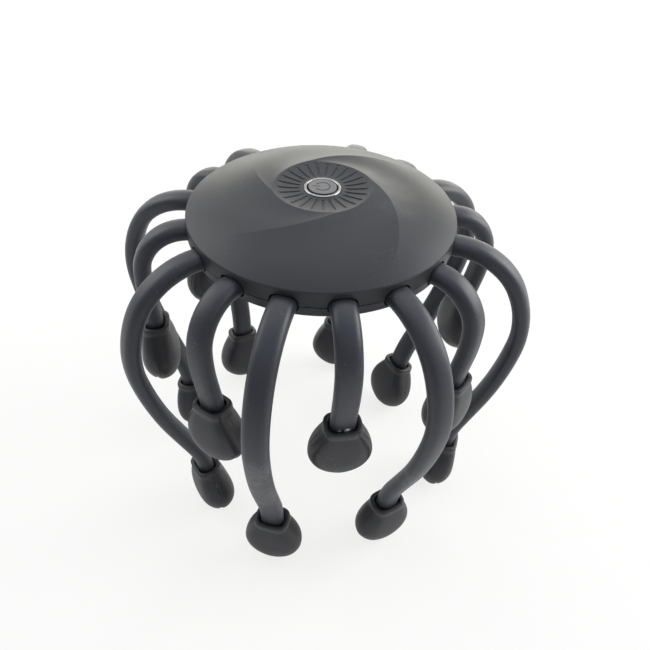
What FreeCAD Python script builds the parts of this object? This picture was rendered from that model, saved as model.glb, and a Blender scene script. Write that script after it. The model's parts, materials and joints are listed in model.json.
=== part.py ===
import FreeCAD, Part
import math
import os
import re
import Sketcher

# Head massager: a round hub with a power button, and long and short bent legs in turn.
# Frame: +Z up, the origin on the floor under the hub's axis, the front towards -Y.

doc = FreeCAD.newDocument("head_massager")
Vector = FreeCAD.Vector
Rotation = FreeCAD.Rotation
Placement = FreeCAD.Placement
ORIGIN = Vector(0, 0, 0)
RIGHT = Vector(1, 0, 0)
BACK = Vector(0, 1, 0)
UP = Vector(0, 0, 1)

# Driving dimensions, in millimetres, degrees and counts
SIZES = (
    ("hub_radius", 56, "rim of the top cover"),
    ("rim_rise", 6.7, "rim edge above the leg axes"),
    ("rim_round", 1.3, "rounding of the rim edge"),
    ("dome_rise", 11.3, "dish edge above the rim edge"),
    ("swirl_offset", 30.8, "hub axis to the centre of each crease's arc"),
    ("swirl_depth", 1.3, "deepest scoop between two creases"),
    ("swirl_turn", 53, "where the first crease's centre lies, from +X"),
    ("dish_lip", 1, "dish edge outside the circle that the creases touch"),
    ("dish_radius", 19.4, "edge of the dish round the button"),
    ("dish_depth", 1.35, "dish floor under the crown"),
    ("dish_floor_radius", 8.8, "flat floor of the dish"),
    ("dish_ease", 0.35, "dish edge under the crown"),
    ("dish_flare", 12, "slope from the dish edge to the crown, outward"),
    ("groove_count", 25, "grooves round the button"),
    ("groove_start", 9.3, "inner end of the grooves"),
    ("groove_length", 9.2, "grooves, from end to end"),
    ("groove_width", 1.35, "grooves, across"),
    ("groove_depth", 0.28, "grooves, below the dish"),
    ("cover_wall", 1.8, "walls of the two covers"),
    ("socket_depth", 5.6, "ring of the covers that holds the legs, across"),
    ("base_drop", 5, "lower edge of the bottom cover under the leg axes"),
    ("base_taper", 1.2, "how far the bottom cover draws in"),
    ("base_step", 0.8, "groove of the parting line, across"),
    ("base_line", 0.5, "groove of the parting line, height"),
    ("base_inset", 0.2, "bottom cover inside the rim, below the parting line"),
    ("base_bulge", 1.3, "flat underside below the lower edge"),
    ("base_round", 6, "slope round the flat underside, across"),
    ("leg_count", 16, "legs, long and short in turn"),
    ("leg_width", 10.5, "leg section along the rim"),
    ("leg_depth", 7.3, "leg section across"),
    ("leg_corner", 3, "corner radius of the leg section"),
    ("leg_stub", 1, "straight start of a leg at the rim"),
    ("leg_tail", 12, "straight end of a leg inside its foot"),
    ("hinge_inset", 0.4, "bending axis of a leg inside the rim"),
    ("pocket_room", 0.5, "room round a leg's end in its socket"),
    ("core_radius", 1, "spring wire in a leg"),
    ("core_room", 0.15, "room round the wire"),
    ("long_shoulder_radius", 31.4, "long leg, first bend"),
    ("long_shoulder_turn", 62.9, "long leg, first bend"),
    ("long_knee_radius", 51, "long leg, second bend"),
    ("long_knee_turn", 35.9, "long leg, second bend"),
    ("long_shin_radius", 155.5, "long leg, third bend"),
    ("long_shin_turn", 13.7, "long leg, third bend"),
    ("long_calf", 17.6, "long leg, straight run above its ankle"),
    ("long_ankle_radius", 58, "long leg, bend back above the foot"),
    ("long_ankle_turn", 15.4, "long leg, bend back above the foot"),
    ("short_shoulder_radius", 18.3, "short leg, first bend"),
    ("short_shoulder_turn", 47.5, "short leg, first bend"),
    ("short_knee_radius", 20.3, "short leg, second bend"),
    ("short_knee_turn", 41.2, "short leg, second bend"),
    ("short_shin_radius", 77.9, "short leg, third bend"),
    ("short_shin_turn", 10.9, "short leg, third bend"),
    ("short_calf", 8.3, "short leg, straight run above its ankle"),
    ("short_ankle_radius", 50, "short leg, bend back above the foot"),
    ("short_ankle_turn", 5.7, "short leg, bend back above the foot"),
    ("foot_width", 26.9, "foot along the rim"),
    ("foot_depth", 17.2, "foot across"),
    ("foot_height", 31.2, "foot from collar to sole"),
    ("foot_fit", 0.1, "room round the leg's end in its foot"),
    ("mouth_gap", 0.5, "room beside the leg in the collar's mouth, along the rim"),
    ("mouth_reach", 0.6, "room beside the leg in the collar's mouth, across"),
    ("mouth_depth", 2.4, "depth of the collar's mouth"),
    ("seam_radius", 1.2, "groove across the sole"),
    ("seam_offset", 2.4, "groove outside the middle of the sole"),
    ("motor_radius", 5, "coin motor"),
    ("motor_depth", 3.4, "coin motor, thickness"),
    ("motor_drop", 18.5, "centre of the coin motor under the collar"),
    ("motor_room", 0.15, "room round the coin motor"),
    ("lead_hole", 1.5, "hole for the motor's leads, radius"),
    ("button_radius", 5.9, "power button"),
    ("button_proud", 0.7, "button top above the dish floor"),
    ("button_round", 0.5, "rounding of the button's edge"),
    ("button_depth", 2.6, "button cap above its flange"),
    ("button_flange", 1.1, "button flange, thickness and reach"),
    ("button_stem", 2, "button stem, radius"),
    ("button_room", 0.3, "room above the button's flange"),
    ("button_gap", 0.55, "gap between the button and its ring"),
    ("button_travel", 0.6, "how far the button goes down"),
    ("symbol_radius", 3, "power symbol, ring"),
    ("symbol_width", 0.4, "power symbol, line"),
    ("symbol_depth", 0.2, "power symbol, depth"),
    ("symbol_gap", 70, "power symbol, opening of the ring"),
    ("bezel_width", 1.15, "ring round the button, across"),
    ("bezel_proud", 0.5, "ring above the dish floor"),
    ("bezel_sink", 0.5, "ring's seat below the dish floor"),
    ("bezel_neck", 0.8, "wall of the ring's neck"),
    ("bezel_tail", 0.4, "ring's neck below the cover"),
    ("bezel_fit", 0.05, "room round the ring in the cover"),
    ("board_radius", 36, "circuit board"),
    ("board_thickness", 1.6, "circuit board"),
    ("board_rise", 1, "underside of the board above the leg axes"),
    ("board_post_place", 31, "hub axis to the board's posts"),
    ("board_post_radius", 2.6, "posts under the board"),
    ("fastener_count", 4, "screws in the covers, and in the board"),
    ("board_screw_radius", 0.95, "board screw, shank"),
    ("board_screw_length", 4.5, "board screw, shank"),
    ("board_head_radius", 1.9, "board screw, head"),
    ("board_head_height", 1.3, "board screw, head"),
    ("cover_screw_place", 44, "hub axis to the cover screws"),
    ("cover_screw_radius", 1.3, "cover screw, shank"),
    ("cover_screw_length", 10, "cover screw, shank"),
    ("cover_head_radius", 2.4, "cover screw, head"),
    ("cover_head_height", 1.6, "cover screw, head"),
    ("cover_head_sink", 0.6, "screw head inside the underside"),
    ("boss_radius", 3.2, "screw bosses in the covers"),
    ("boss_rise", 8.2, "screw bosses above the leg axes"),
    ("screw_room", 0.1, "room round the screws"),
    ("socket_slot", 1.6, "cross slot in a screw head, length"),
    ("socket_slot_width", 0.5, "cross slot in a screw head, across"),
    ("switch_side", 6, "push switch body"),
    ("switch_height", 3.5, "push switch body"),
    ("plunger_radius", 1.7, "push switch plunger"),
    ("plunger_proud", 1.5, "plunger above the switch body"),
    ("plunger_depth", 2.2, "plunger inside the switch body"),
    ("plunger_room", 0.15, "room round the plunger"),
    ("battery_length", 36, "battery"),
    ("battery_width", 20, "battery"),
    ("battery_height", 7, "battery"),
    ("battery_place", 8, "hub axis to the near side of the battery"),
    ("battery_round", 1.5, "rounding of the battery's edges"),
    ("charge_width", 8.94, "charging socket shell"),
    ("charge_depth", 3.26, "charging socket shell, across"),
    ("charge_corner", 1.2, "charging socket shell, corners"),
    ("charge_shell", 0.3, "charging socket shell, wall"),
    ("charge_inside", 5.4, "charging socket, depth of its opening"),
    ("charge_tongue", 6.7, "tongue in the charging socket"),
    ("charge_tongue_depth", 0.7, "tongue in the charging socket, across"),
    ("charge_tongue_short", 1, "tongue behind the socket's mouth"),
    ("charge_place", 24, "hub axis to the charging socket"),
    ("charge_inlet", 0.3, "mouth of the charging socket inside the underside"),
    ("charge_room", 0.25, "room round the charging socket"),
    ("lead_width", 2.4, "lead ribbon to a leg"),
    ("lead_thickness", 0.8, "lead ribbon to a leg"),
    ("lead_length", 17.55, "lead ribbon, from its soldered end to the leg"),
    ("lead_end_gap", 0.4, "ribbon short of the leg's socket room"),
    ("lead_room", 0.3, "room round the ribbons"),
    ("overrun", 2, "how far cutting shapes pass what they cut"),
)

# Dome height falls from the dish edge to the rim with this power of the distance
DOME_POWER = 1.9
# Rounding of the rim: its start below the edge, its reach inward and its height, as
# shares of its radius
RIM_SHARES = (0.5, 0.5, 0.866)
# Outline of a foot from collar to sole: height, width, depth and corner radius of
# each section, as shares of the foot's height, width, depth and that section's depth
FOOT_SHARES = (
    (0.00, 0.56, 0.69, 0.34),
    (0.09, 0.58, 0.71, 0.34),
    (0.24, 0.74, 0.81, 0.34),
    (0.38, 0.90, 0.90, 0.34),
    (0.52, 0.99, 0.97, 0.36),
    (0.66, 0.99, 0.99, 0.40),
    (0.78, 0.85, 0.89, 0.44),
    (0.90, 0.60, 0.62, 0.47),
    (1.00, 0.21, 0.22, 0.45),
)
# Set of each leg in degrees, from the front towards +X: bent outward, leaning sideways
LEG_SETS = (
    (-3.3, 0.1), (-1.2, 0.4), (0.0, -0.4), (0.5, -0.7),
    (-0.4, 3.5), (-4.5, 3.5), (0.0, 0.0), (0.8, 2.1),
    (0.0, 0.0), (1.6, 3.4), (0.3, -1.7), (0.8, -1.2),
    (1.9, 1.8), (-2.2, 2.4), (1.9, 3.4), (0.5, -0.7),
)
# Rows and columns of points through which a quarter of the swirl is drawn
SWIRL_ROWS = 14
SWIRL_COLUMNS = 12
SWIRL_ARMS = 4
# Factors that bring the highest value of the scoop's fade outward, and of its curve
# from crease to crease, to one
FADE_SHARE = 6.75
SCOOP_SHARE = 4
# Outer end of the power symbol's line, as a share of its ring's radius
BAR_SHARE = 1.35

sheet = doc.addObject("Spreadsheet::Sheet", "sizes")


def write_size(row, alias, value, note):
    """Put one named value on the sheet."""
    sheet.set(f"A{row}", alias)
    sheet.set(f"B{row}", str(value))
    sheet.set(f"C{row}", note)
    sheet.setAlias(f"B{row}", alias)


for number, entry in enumerate(SIZES, start=1):
    write_size(number, *entry)
ALIASES = {entry[0] for entry in SIZES} | {"root_height"}
doc.recompute()


def formula(text):
    """Write the sheet's name before each of its aliases."""
    return re.sub(r"[a-z]\w*", lambda word: with_sheet(word.group()), text)


def with_sheet(word):
    """One word of a formula, as the document's expressions want it."""
    return f"sizes.{word}" if word in ALIASES else word


def value(text):
    """What a formula comes to now."""
    return float(sheet.evalExpression(formula(text)))


# Building blocks


def place(thing, x="0", y="0", z="0"):
    """Bind the three coordinates of an object to formulas."""
    for axis, text in zip("xyz", (x, y, z)):
        thing.setExpression(f"Placement.Base.{axis}", formula(text))
    return thing


def primitive(kind, name, x="0", y="0", z="0", turn=None, **sizes):
    """A Part primitive whose sizes and place are formulas."""
    thing = doc.addObject(f"Part::{kind}", name)
    if turn:
        thing.Placement = Placement(ORIGIN, Rotation(*turn))
    for property_name, text in sizes.items():
        thing.setExpression(property_name, formula(text))
    return place(thing, x, y, z)


def block(name, length, width, height, x="0", y="0", z="0"):
    """A box centred on x and y, standing on z."""
    return primitive(
        "Box", name, f"{x} - ({length}) / 2", f"{y} - ({width}) / 2", z,
        Length=length, Width=width, Height=height,
    )


def join(name, *things):
    """One solid from several that touch or overlap."""
    thing = doc.addObject("Part::MultiFuse", name)
    thing.Shapes = list(things)
    thing.Refine = True
    return thing


def cut(name, base, *tools):
    """The base without the tools."""
    thing = doc.addObject("Part::Cut", name)
    thing.Base = base
    thing.Tool = tools[0] if len(tools) == 1 else join(f"{name}_tools", *tools)
    thing.Refine = True
    return thing


def common(name, *things):
    """What several solids share."""
    thing = doc.addObject("Part::MultiCommon", name)
    thing.Shapes = list(things)
    return thing


def group(name, *things):
    """Separate solids in one object."""
    thing = doc.addObject("Part::Compound", name)
    thing.Links = list(things)
    return thing


def copies(name, master, placements):
    """Linked copies of an object, gathered in one group."""
    links = []
    for number, spot in enumerate(placements, start=1):
        link = doc.addObject("App::Link", f"{name}_{number:02d}")
        link.LinkedObject = master
        link.LinkTransform = True
        link.Placement = spot
        links.append(link)
    return group(name, *links)


def around(count, first=0.0):
    """Even turns about the hub's axis after a first one, counter-clockwise from above."""
    step = 360.0 / count
    return [Placement(ORIGIN, Rotation(UP, first + step * k)) for k in range(count)]


def rounded(name, base, radius, chosen):
    """Round those edges of an object that a test picks."""
    doc.recompute()
    thing = doc.addObject("Part::Fillet", name)
    thing.Base = base
    size = value(radius)
    edges = enumerate(base.Shape.Edges, start=1)
    thing.Edges = [(number, size, size) for number, edge in edges if chosen(edge)]
    return thing


def bound_sketch(name, spot, geometry):
    """A sketch on a plane of the document."""
    sketch = doc.addObject("Sketcher::SketchObject", name)
    sketch.Placement = spot
    sketch.addGeometry(geometry, False)
    return sketch


def dimension(sketch, text, kind, *target):
    """A sketch dimension driven by a formula."""
    number = value(text)
    if kind == "Angle":
        number = math.radians(number)
    index = sketch.addConstraint(Sketcher.Constraint(kind, *target, number))
    sketch.setExpression(f"Constraints[{index}]", formula(text))


def relation(sketch, kind, *target):
    """A sketch constraint without a number."""
    sketch.addConstraint(Sketcher.Constraint(kind, *target))


def line(x1, y1, x2, y2):
    """A straight sketch edge."""
    return Part.LineSegment(Vector(x1, y1, 0), Vector(x2, y2, 0))


def arc(x, y, radius, start, end):
    """A round sketch edge, counter-clockwise between two angles in degrees."""
    circle = Part.Circle(Vector(x, y, 0), UP, radius)
    return Part.ArcOfCircle(circle, math.radians(start), math.radians(end))


def rounded_rectangle(name, wide, tall, corner, spot):
    """A closed sketch of four lines and four equal corner arcs about its origin."""
    c = value(corner)
    a = value(wide) / 2
    b = value(tall) / 2
    u = a - c
    v = b - c
    sketch = bound_sketch(name, spot, [
        line(-u, -b, u, -b), arc(u, -v, c, -90, 0),
        line(a, -v, a, v), arc(u, v, c, 0, 90),
        line(u, b, -u, b), arc(-u, v, c, 90, 180),
        line(-a, v, -a, -v), arc(-u, -v, c, 180, 270),
    ])
    for edge in range(8):
        relation(sketch, "Tangent", edge, 2, (edge + 1) % 8, 1)
    for edge in (0, 4):
        relation(sketch, "Horizontal", edge)
        relation(sketch, "Vertical", edge + 2)
    for edge in (3, 5, 7):
        relation(sketch, "Equal", 1, edge)
    relation(sketch, "Symmetric", 1, 3, 5, 3, -1, 1)
    dimension(sketch, corner, "Radius", 1)
    dimension(sketch, f"{wide} - 2 * ({corner})", "DistanceX", 7, 3, 1, 3)
    dimension(sketch, f"{tall} - 2 * ({corner})", "DistanceY", 1, 3, 3, 3)
    return sketch


def extruded(name, sketch, direction, length):
    """A prism from a closed sketch."""
    thing = doc.addObject("Part::Extrusion", name)
    thing.Base = sketch
    thing.DirMode = "Custom"
    thing.Dir = direction
    thing.Solid = True
    thing.setExpression("LengthFwd", formula(length))
    return thing


UPRIGHT = Placement(ORIGIN, Rotation(RIGHT, 90))
FACING_OUT = Placement(ORIGIN, Rotation(Vector(1, 1, 1), 120))


def lathe(name, corners, bend=None):
    """A turned solid. The corners go counter-clockwise round its half outline, as
    radius and height formulas. The edge that bend numbers is an arc that leaves the
    edge before it smoothly and turns left."""
    spots = [(value(x), value(z)) for x, z in corners]
    edges = []
    for number, (x1, z1) in enumerate(spots):
        x2, z2 = spots[(number + 1) % len(spots)]
        if number == bend:
            x0, z0 = spots[number - 1]
            ahead = math.atan2(z1 - z0, x1 - x0)
            left = (-math.sin(ahead), math.cos(ahead))
            aside = (x2 - x1) * left[0] + (z2 - z1) * left[1]
            radius = ((x2 - x1) ** 2 + (z2 - z1) ** 2) / (2 * aside)
            middle = (x1 + radius * left[0], z1 + radius * left[1])
            end = math.atan2(z2 - middle[1], x2 - middle[0])
            edges.append(arc(*middle, radius, math.degrees(ahead) - 90, math.degrees(end)))
        else:
            edges.append(line(x1, z1, x2, z2))
    sketch = bound_sketch(f"{name}_outline", UPRIGHT, edges)
    for number, (x, z) in enumerate(corners):
        before = number - 1 if number else len(corners) - 1
        if number == bend:
            relation(sketch, "Tangent", before, 2, number, 1)
        else:
            relation(sketch, "Coincident", before, 2, number, 1)
        if x == "0":
            relation(sketch, "PointOnObject", number, 1, -2)
        else:
            dimension(sketch, x, "DistanceX", -1, 1, number, 1)
        dimension(sketch, z, "DistanceY", -1, 1, number, 1)
    turned = doc.addObject("Part::Revolution", name)
    turned.Source = sketch
    turned.Axis = UP
    turned.Base = ORIGIN
    turned.Angle = 360
    turned.Solid = True
    return turned


# Legs. A leg's own frame: origin on its bending axis, X outward, Y along the rim


def leg_run(kind):
    """The runs of a leg: formulas of an arc's radius and turn, or of a straight length."""
    return (
        (None, "leg_stub"),
        (f"{kind}_shoulder_radius", f"{kind}_shoulder_turn"),
        (f"{kind}_knee_radius", f"{kind}_knee_turn"),
        (f"{kind}_shin_radius", f"{kind}_shin_turn"),
        (None, f"{kind}_calf"),
        (f"{kind}_ankle_radius", f"-{kind}_ankle_turn"),
        (None, "leg_tail"),
    )


def walk(kind):
    """Start, heading below the horizontal and edge of each run, and the end of the last."""
    x = z = heading = 0.0
    found = []
    for radius, amount in leg_run(kind):
        start = (x, z, heading)
        ahead = math.radians(heading)
        if radius is None:
            x += value(amount) * math.cos(ahead)
            z -= value(amount) * math.sin(ahead)
            edge = line(start[0], start[1], x, z)
        else:
            bend = math.copysign(value(radius), value(amount))
            cx = x - bend * math.sin(ahead)
            cz = z - bend * math.cos(ahead)
            heading += value(amount)
            after = math.radians(heading)
            x = cx + bend * math.sin(after)
            z = cz + bend * math.cos(after)
            ends = [math.degrees(math.atan2(start[1] - cz, start[0] - cx))]
            ends.append(ends[0] - value(amount))
            edge = arc(cx, cz, abs(bend), min(ends), max(ends))
        found.append((start, edge))
    return found, (x, z, heading)


def leg_path(kind):
    """The middle line of a leg: straight runs and arcs that meet smoothly."""
    found, _ = walk(kind)
    sketch = bound_sketch(f"{kind}_path", UPRIGHT, [edge for _, edge in found])
    last_end = None
    for number, (radius, amount) in enumerate(leg_run(kind)):
        clockwise = radius is not None and value(amount) > 0
        first, last = (2, 1) if clockwise else (1, 2)
        if number:
            relation(sketch, "Tangent", number - 1, last_end, number, first)
        else:
            relation(sketch, "Coincident", number, first, -1, 1)
            relation(sketch, "Horizontal", number)
        if radius is None:
            dimension(sketch, amount, "Distance", number)
        else:
            dimension(sketch, radius, "Radius", number)
            dimension(sketch, amount.lstrip("-"), "Angle", number)
        last_end = last
    return sketch


def swept(name, section, path):
    """A section carried along all edges of a path."""
    thing = doc.addObject("Part::Sweep", name)
    thing.Sections = [section]
    thing.Spine = (path, [f"Edge{k + 1}" for k in range(path.GeometryCount)])
    thing.Solid = True
    return thing


def long_edges(edge):
    """The two round edges at the ends of a cylinder."""
    return edge.Closed


def knuckle(name, room):
    """The round end of a leg about its bending axis, with room added all round."""
    barrel = primitive(
        "Cylinder", f"{name}_barrel", turn=(RIGHT, -90),
        y=f"-leg_width / 2 - {room}",
        Radius=f"leg_depth / 2 + {room}", Height=f"leg_width + 2 * {room}",
    )
    return rounded(name, barrel, f"leg_corner + {room}", long_edges)


def foot_spot(kind):
    """Where a foot sits in its leg's frame: the collar's top, turned along the leg."""
    (x, z, heading), _ = walk(kind)[0][-1]
    return Placement(Vector(x, 0, z), Rotation(BACK, heading - 90))


def foot():
    """A flared foot that hangs from its collar at the origin."""
    sections = []
    for number, (down, wide, deep, corner) in enumerate(FOOT_SHARES):
        spot = Placement(ORIGIN, Rotation())
        depth = f"foot_depth * {deep}"
        section = rounded_rectangle(
            f"foot_section_{number}", depth, f"foot_width * {wide}",
            f"{depth} * {corner}", spot,
        )
        sections.append(place(section, z=f"-foot_height * {down}"))
    body = doc.addObject("Part::Loft", "foot_body")
    body.Sections = sections
    body.Solid = True
    wide = "leg_width + 2 * foot_fit"
    deep = "leg_depth + 2 * foot_fit"
    hole = rounded_rectangle("foot_hole", deep, wide, "leg_corner + foot_fit", Placement())
    pocket = extruded("foot_pocket", hole, -UP, "leg_tail + foot_fit")
    wide = "leg_width + 2 * mouth_gap"
    deep = "leg_depth + 2 * mouth_reach"
    rim = rounded_rectangle("foot_rim", deep, wide, "leg_corner + mouth_gap", Placement())
    mouth = extruded("foot_mouth", rim, -UP, "mouth_depth")
    seat = primitive(
        "Cylinder", "motor_seat", turn=(BACK, 90),
        x="-motor_depth / 2 - motor_room", z="-motor_drop",
        Radius="motor_radius + motor_room", Height="motor_depth + 2 * motor_room",
    )
    hole = primitive(
        "Cylinder", "lead_way", z="-motor_drop",
        Radius="lead_hole", Height="motor_drop - leg_tail",
    )
    seam = primitive(
        "Cylinder", "sole_seam", turn=(RIGHT, -90),
        x="seam_offset", y="-foot_width / 2", z="-foot_height",
        Radius="seam_radius", Height="foot_width",
    )
    return cut("foot", body, pocket, mouth, seat, hole, seam)


def leg_masters(kind, section, bore, wire):
    """The sleeve, and the wire with its motor, of one kind of leg."""
    path = leg_path(kind)
    tube = swept(f"{kind}_tube", section, path)
    root = knuckle(f"{kind}_root", "0")
    sleeve = cut(
        f"{kind}_sleeve", join(f"{kind}_skin", tube, root),
        swept(f"{kind}_bore", bore, path),
    )
    motor = doc.addObject("Part::Cylinder", f"{kind}_motor")
    motor.setExpression("Radius", formula("motor_radius"))
    motor.setExpression("Height", formula("motor_depth"))
    middle = Vector(-value("motor_depth") / 2, 0, -value("motor_drop"))
    motor.Placement = foot_spot(kind) * Placement(middle, Rotation(BACK, 90))
    core = group(f"{kind}_core", swept(f"{kind}_wire", wire, path), motor)
    return sleeve, core


def ring_section(name, radius):
    """A round section at the start of a leg."""
    circle = doc.addObject("Part::Circle", name)
    circle.Placement = FACING_OUT
    circle.setExpression("Radius", formula(radius))
    return circle


leg_section = rounded_rectangle(
    "leg_section", "leg_width", "leg_depth", "leg_corner", FACING_OUT
)
bore_section = ring_section("bore_section", "core_radius + core_room")
wire_section = ring_section("wire_section", "core_radius")
masters = {
    kind: leg_masters(kind, leg_section, bore_section, wire_section)
    for kind in ("long", "short")
}
foot_master = foot()
doc.recompute()


def leg_azimuth(number):
    """Where a leg stands, in degrees from the front towards +X."""
    return 360.0 / value("leg_count") * (number + 0.5)


def leg_socket(number, height):
    """The frame of a leg's socket: its place on the rim and its sideways lean."""
    _, lean = LEG_SETS[number % len(LEG_SETS)]
    turn = Placement(ORIGIN, Rotation(UP, leg_azimuth(number) - 90))
    out = Vector(value("hub_radius - hinge_inset"), 0, height)
    return turn * Placement(out, Rotation(RIGHT, lean))


def leg_frame(number, height):
    """The frame of a leg as it stands."""
    bend, _ = LEG_SETS[number % len(LEG_SETS)]
    return leg_socket(number, height) * Placement(ORIGIN, Rotation(BACK, -bend))


def leg_kind(number):
    """Short and long legs in turn."""
    return "long" if number % 2 else "short"


def lowest(number):
    """The lowest point of a leg's foot when the leg starts at height zero."""
    sole = foot_master.Shape.copy()
    sole.Placement = leg_frame(number, 0) * foot_spot(leg_kind(number))
    return sole.optimalBoundingBox(False).ZMin


LEGS = range(round(value("leg_count")))
root_height = -min(lowest(number) for number in LEGS)
write_size(len(SIZES) + 1, "root_height", root_height, "leg axes above the floor")
doc.recompute()

nodes = []


def node(name, thing):
    """Name an object as one of the parts."""
    thing.Label = name
    nodes.append(thing)


def linked_node(name, master, spot):
    """A part that repeats another object elsewhere."""
    link = doc.addObject("App::Link", name)
    link.LinkedObject = master
    link.Placement = spot
    node(name, link)


for leg in LEGS:
    stand = leg_frame(leg, root_height)
    sleeve_master, core_master = masters[leg_kind(leg)]
    linked_node(f"leg_{leg + 1:02d}_sleeve", sleeve_master, stand)
    linked_node(f"leg_{leg + 1:02d}_core", core_master, stand)
    linked_node(f"leg_{leg + 1:02d}_foot", foot_master, stand * foot_spot(leg_kind(leg)))

# Heights in the hub
RIM = "root_height + rim_rise"
CROWN = f"{RIM} + dome_rise"
DISH = f"{CROWN} - dish_depth"
CEILING = f"{DISH} - cover_wall"
BASE_EDGE = "root_height - base_drop"
UNDERSIDE = f"{BASE_EDGE} - base_bulge"
FLOOR = f"{UNDERSIDE} + cover_wall"
BOARD = "root_height + board_rise"
BOARD_TOP = f"{BOARD} + board_thickness"
SOCKET = "hub_radius - socket_depth"


# Top cover


def crease_angle(radius):
    """Where the first crease crosses a circle about the hub's axis, in degrees."""
    offset = value("swirl_offset")
    bend = offset + value("dish_radius - dish_lip")
    cosine = (radius ** 2 + offset ** 2 - bend ** 2) / (2 * radius * offset)
    return value("swirl_turn") + math.degrees(math.acos(max(-1.0, min(1.0, cosine))))


def swirl_height(radius, across):
    """Height of the dome at a share of the way from one crease to the next."""
    inner = value("dish_radius - dish_lip")
    out = (radius - inner) / (value("hub_radius") - inner)
    dome = value(RIM) + value("dome_rise") * (1 - out ** DOME_POWER)
    fade = FADE_SHARE * out * (1 - out) ** 2 if out < 1 else 0
    scoop = SCOOP_SHARE * across * (1 - across)
    return dome - value("swirl_depth") * fade * scoop


def swirl_patch():
    """The face between two creases, from the dish to just past the rim."""
    inner = value("dish_radius - dish_lip")
    reach = value("hub_radius + overrun") - inner
    rows = []
    for row in range(SWIRL_ROWS + 1):
        radius = inner + reach * (row / SWIRL_ROWS) ** 2
        points = []
        for column in range(SWIRL_COLUMNS + 1):
            across = column / SWIRL_COLUMNS
            turn = crease_angle(radius) + across * 360 / SWIRL_ARMS
            spot = Rotation(UP, turn).multVec(Vector(radius, 0, 0))
            points.append(Vector(spot.x, spot.y, swirl_height(radius, across)))
        rows.append(points)
    surface = Part.BSplineSurface()
    surface.interpolate(rows)
    return surface.toShape()


def swirl_dome():
    """A solid under the four swirling faces, down to below the parting plane."""
    patch = swirl_patch()
    inner = value("dish_radius - dish_lip")
    bottom = value("root_height - overrun")
    faces = []
    crown_edges = []
    bottom_edges = []
    for arm in range(SWIRL_ARMS):
        face = patch.copy()
        face.rotate(ORIGIN, UP, arm * 360 / SWIRL_ARMS)
        faces.append(face)
        for edge in face.Edges:
            ends = [math.hypot(v.X, v.Y) for v in edge.Vertexes]
            if max(ends) < inner + value("dish_lip") / 2:
                crown_edges.append(edge)
            elif min(ends) > value("hub_radius"):
                skirt = edge.extrude(Vector(0, 0, bottom - edge.Vertexes[0].Z))
                faces.append(skirt)
                bottom_edges += [e for e in skirt.Edges if abs(e.CenterOfMass.z - bottom) < 1e-6]
    faces.append(Part.Face(Part.Wire(Part.__sortEdges__(crown_edges))))
    faces.append(Part.Face(Part.Wire(Part.__sortEdges__(bottom_edges))))
    shell = Part.Shell(faces)
    shell.sewShape()
    solid = Part.Solid(shell)
    if solid.Volume < 0:
        solid.reverse()
    thing = doc.addObject("Part::Feature", "swirl_dome")
    thing.Shape = solid
    return thing


def leg_pockets():
    """The sockets that the two covers close round the ends of the legs."""
    wide = "leg_width + 2 * pocket_room"
    deep = "leg_depth + 2 * pocket_room"
    opening = rounded_rectangle(
        "pocket_opening", wide, deep, "leg_corner + pocket_room", FACING_OUT
    )
    way = extruded("pocket_way", opening, RIGHT, "hinge_inset + overrun")
    pocket = join("pocket", knuckle("pocket_end", "pocket_room"), way)
    return copies("pockets", pocket, [leg_socket(leg, root_height) for leg in LEGS])


def leg_turns():
    """Turns about the hub's axis that carry +X to each leg."""
    return [Placement(ORIGIN, Rotation(UP, leg_azimuth(leg) - 90)) for leg in LEGS]


def radial_bars(name, start, length, width, z, height, turns):
    """Bars that point outward, one for each turn."""
    bar = primitive(
        "Box", f"{name}_bar", start, f"-({width}) / 2", z,
        Length=length, Width=width, Height=height,
    )
    return copies(name, bar, turns)


def round_posts(name, radius, at, z, height, turns):
    """Upright cylinders at one distance from the hub's axis."""
    post = primitive("Cylinder", f"{name}_post", at, "0", z, Radius=radius, Height=height)
    return copies(name, post, turns)


SCREW_TURNS = around(round(value("fastener_count")), 180.0 / value("fastener_count"))
LEAD_END = "hub_radius - hinge_inset - leg_depth / 2 - pocket_room - lead_end_gap"
LEAD_LEVEL = BOARD_TOP


def dish_tool(name, drop):
    """What the dish takes out of the dome, lowered by a depth."""
    floor = f"{DISH} - {drop}"
    brim = f"{CROWN} - dish_ease - {drop}"
    top = f"{CROWN} + overrun"
    corners = (("0", floor), ("dish_floor_radius", floor), ("dish_radius", brim),
               ("dish_radius + dish_flare", top), ("0", top))
    return lathe(name, corners, bend=1)


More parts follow.
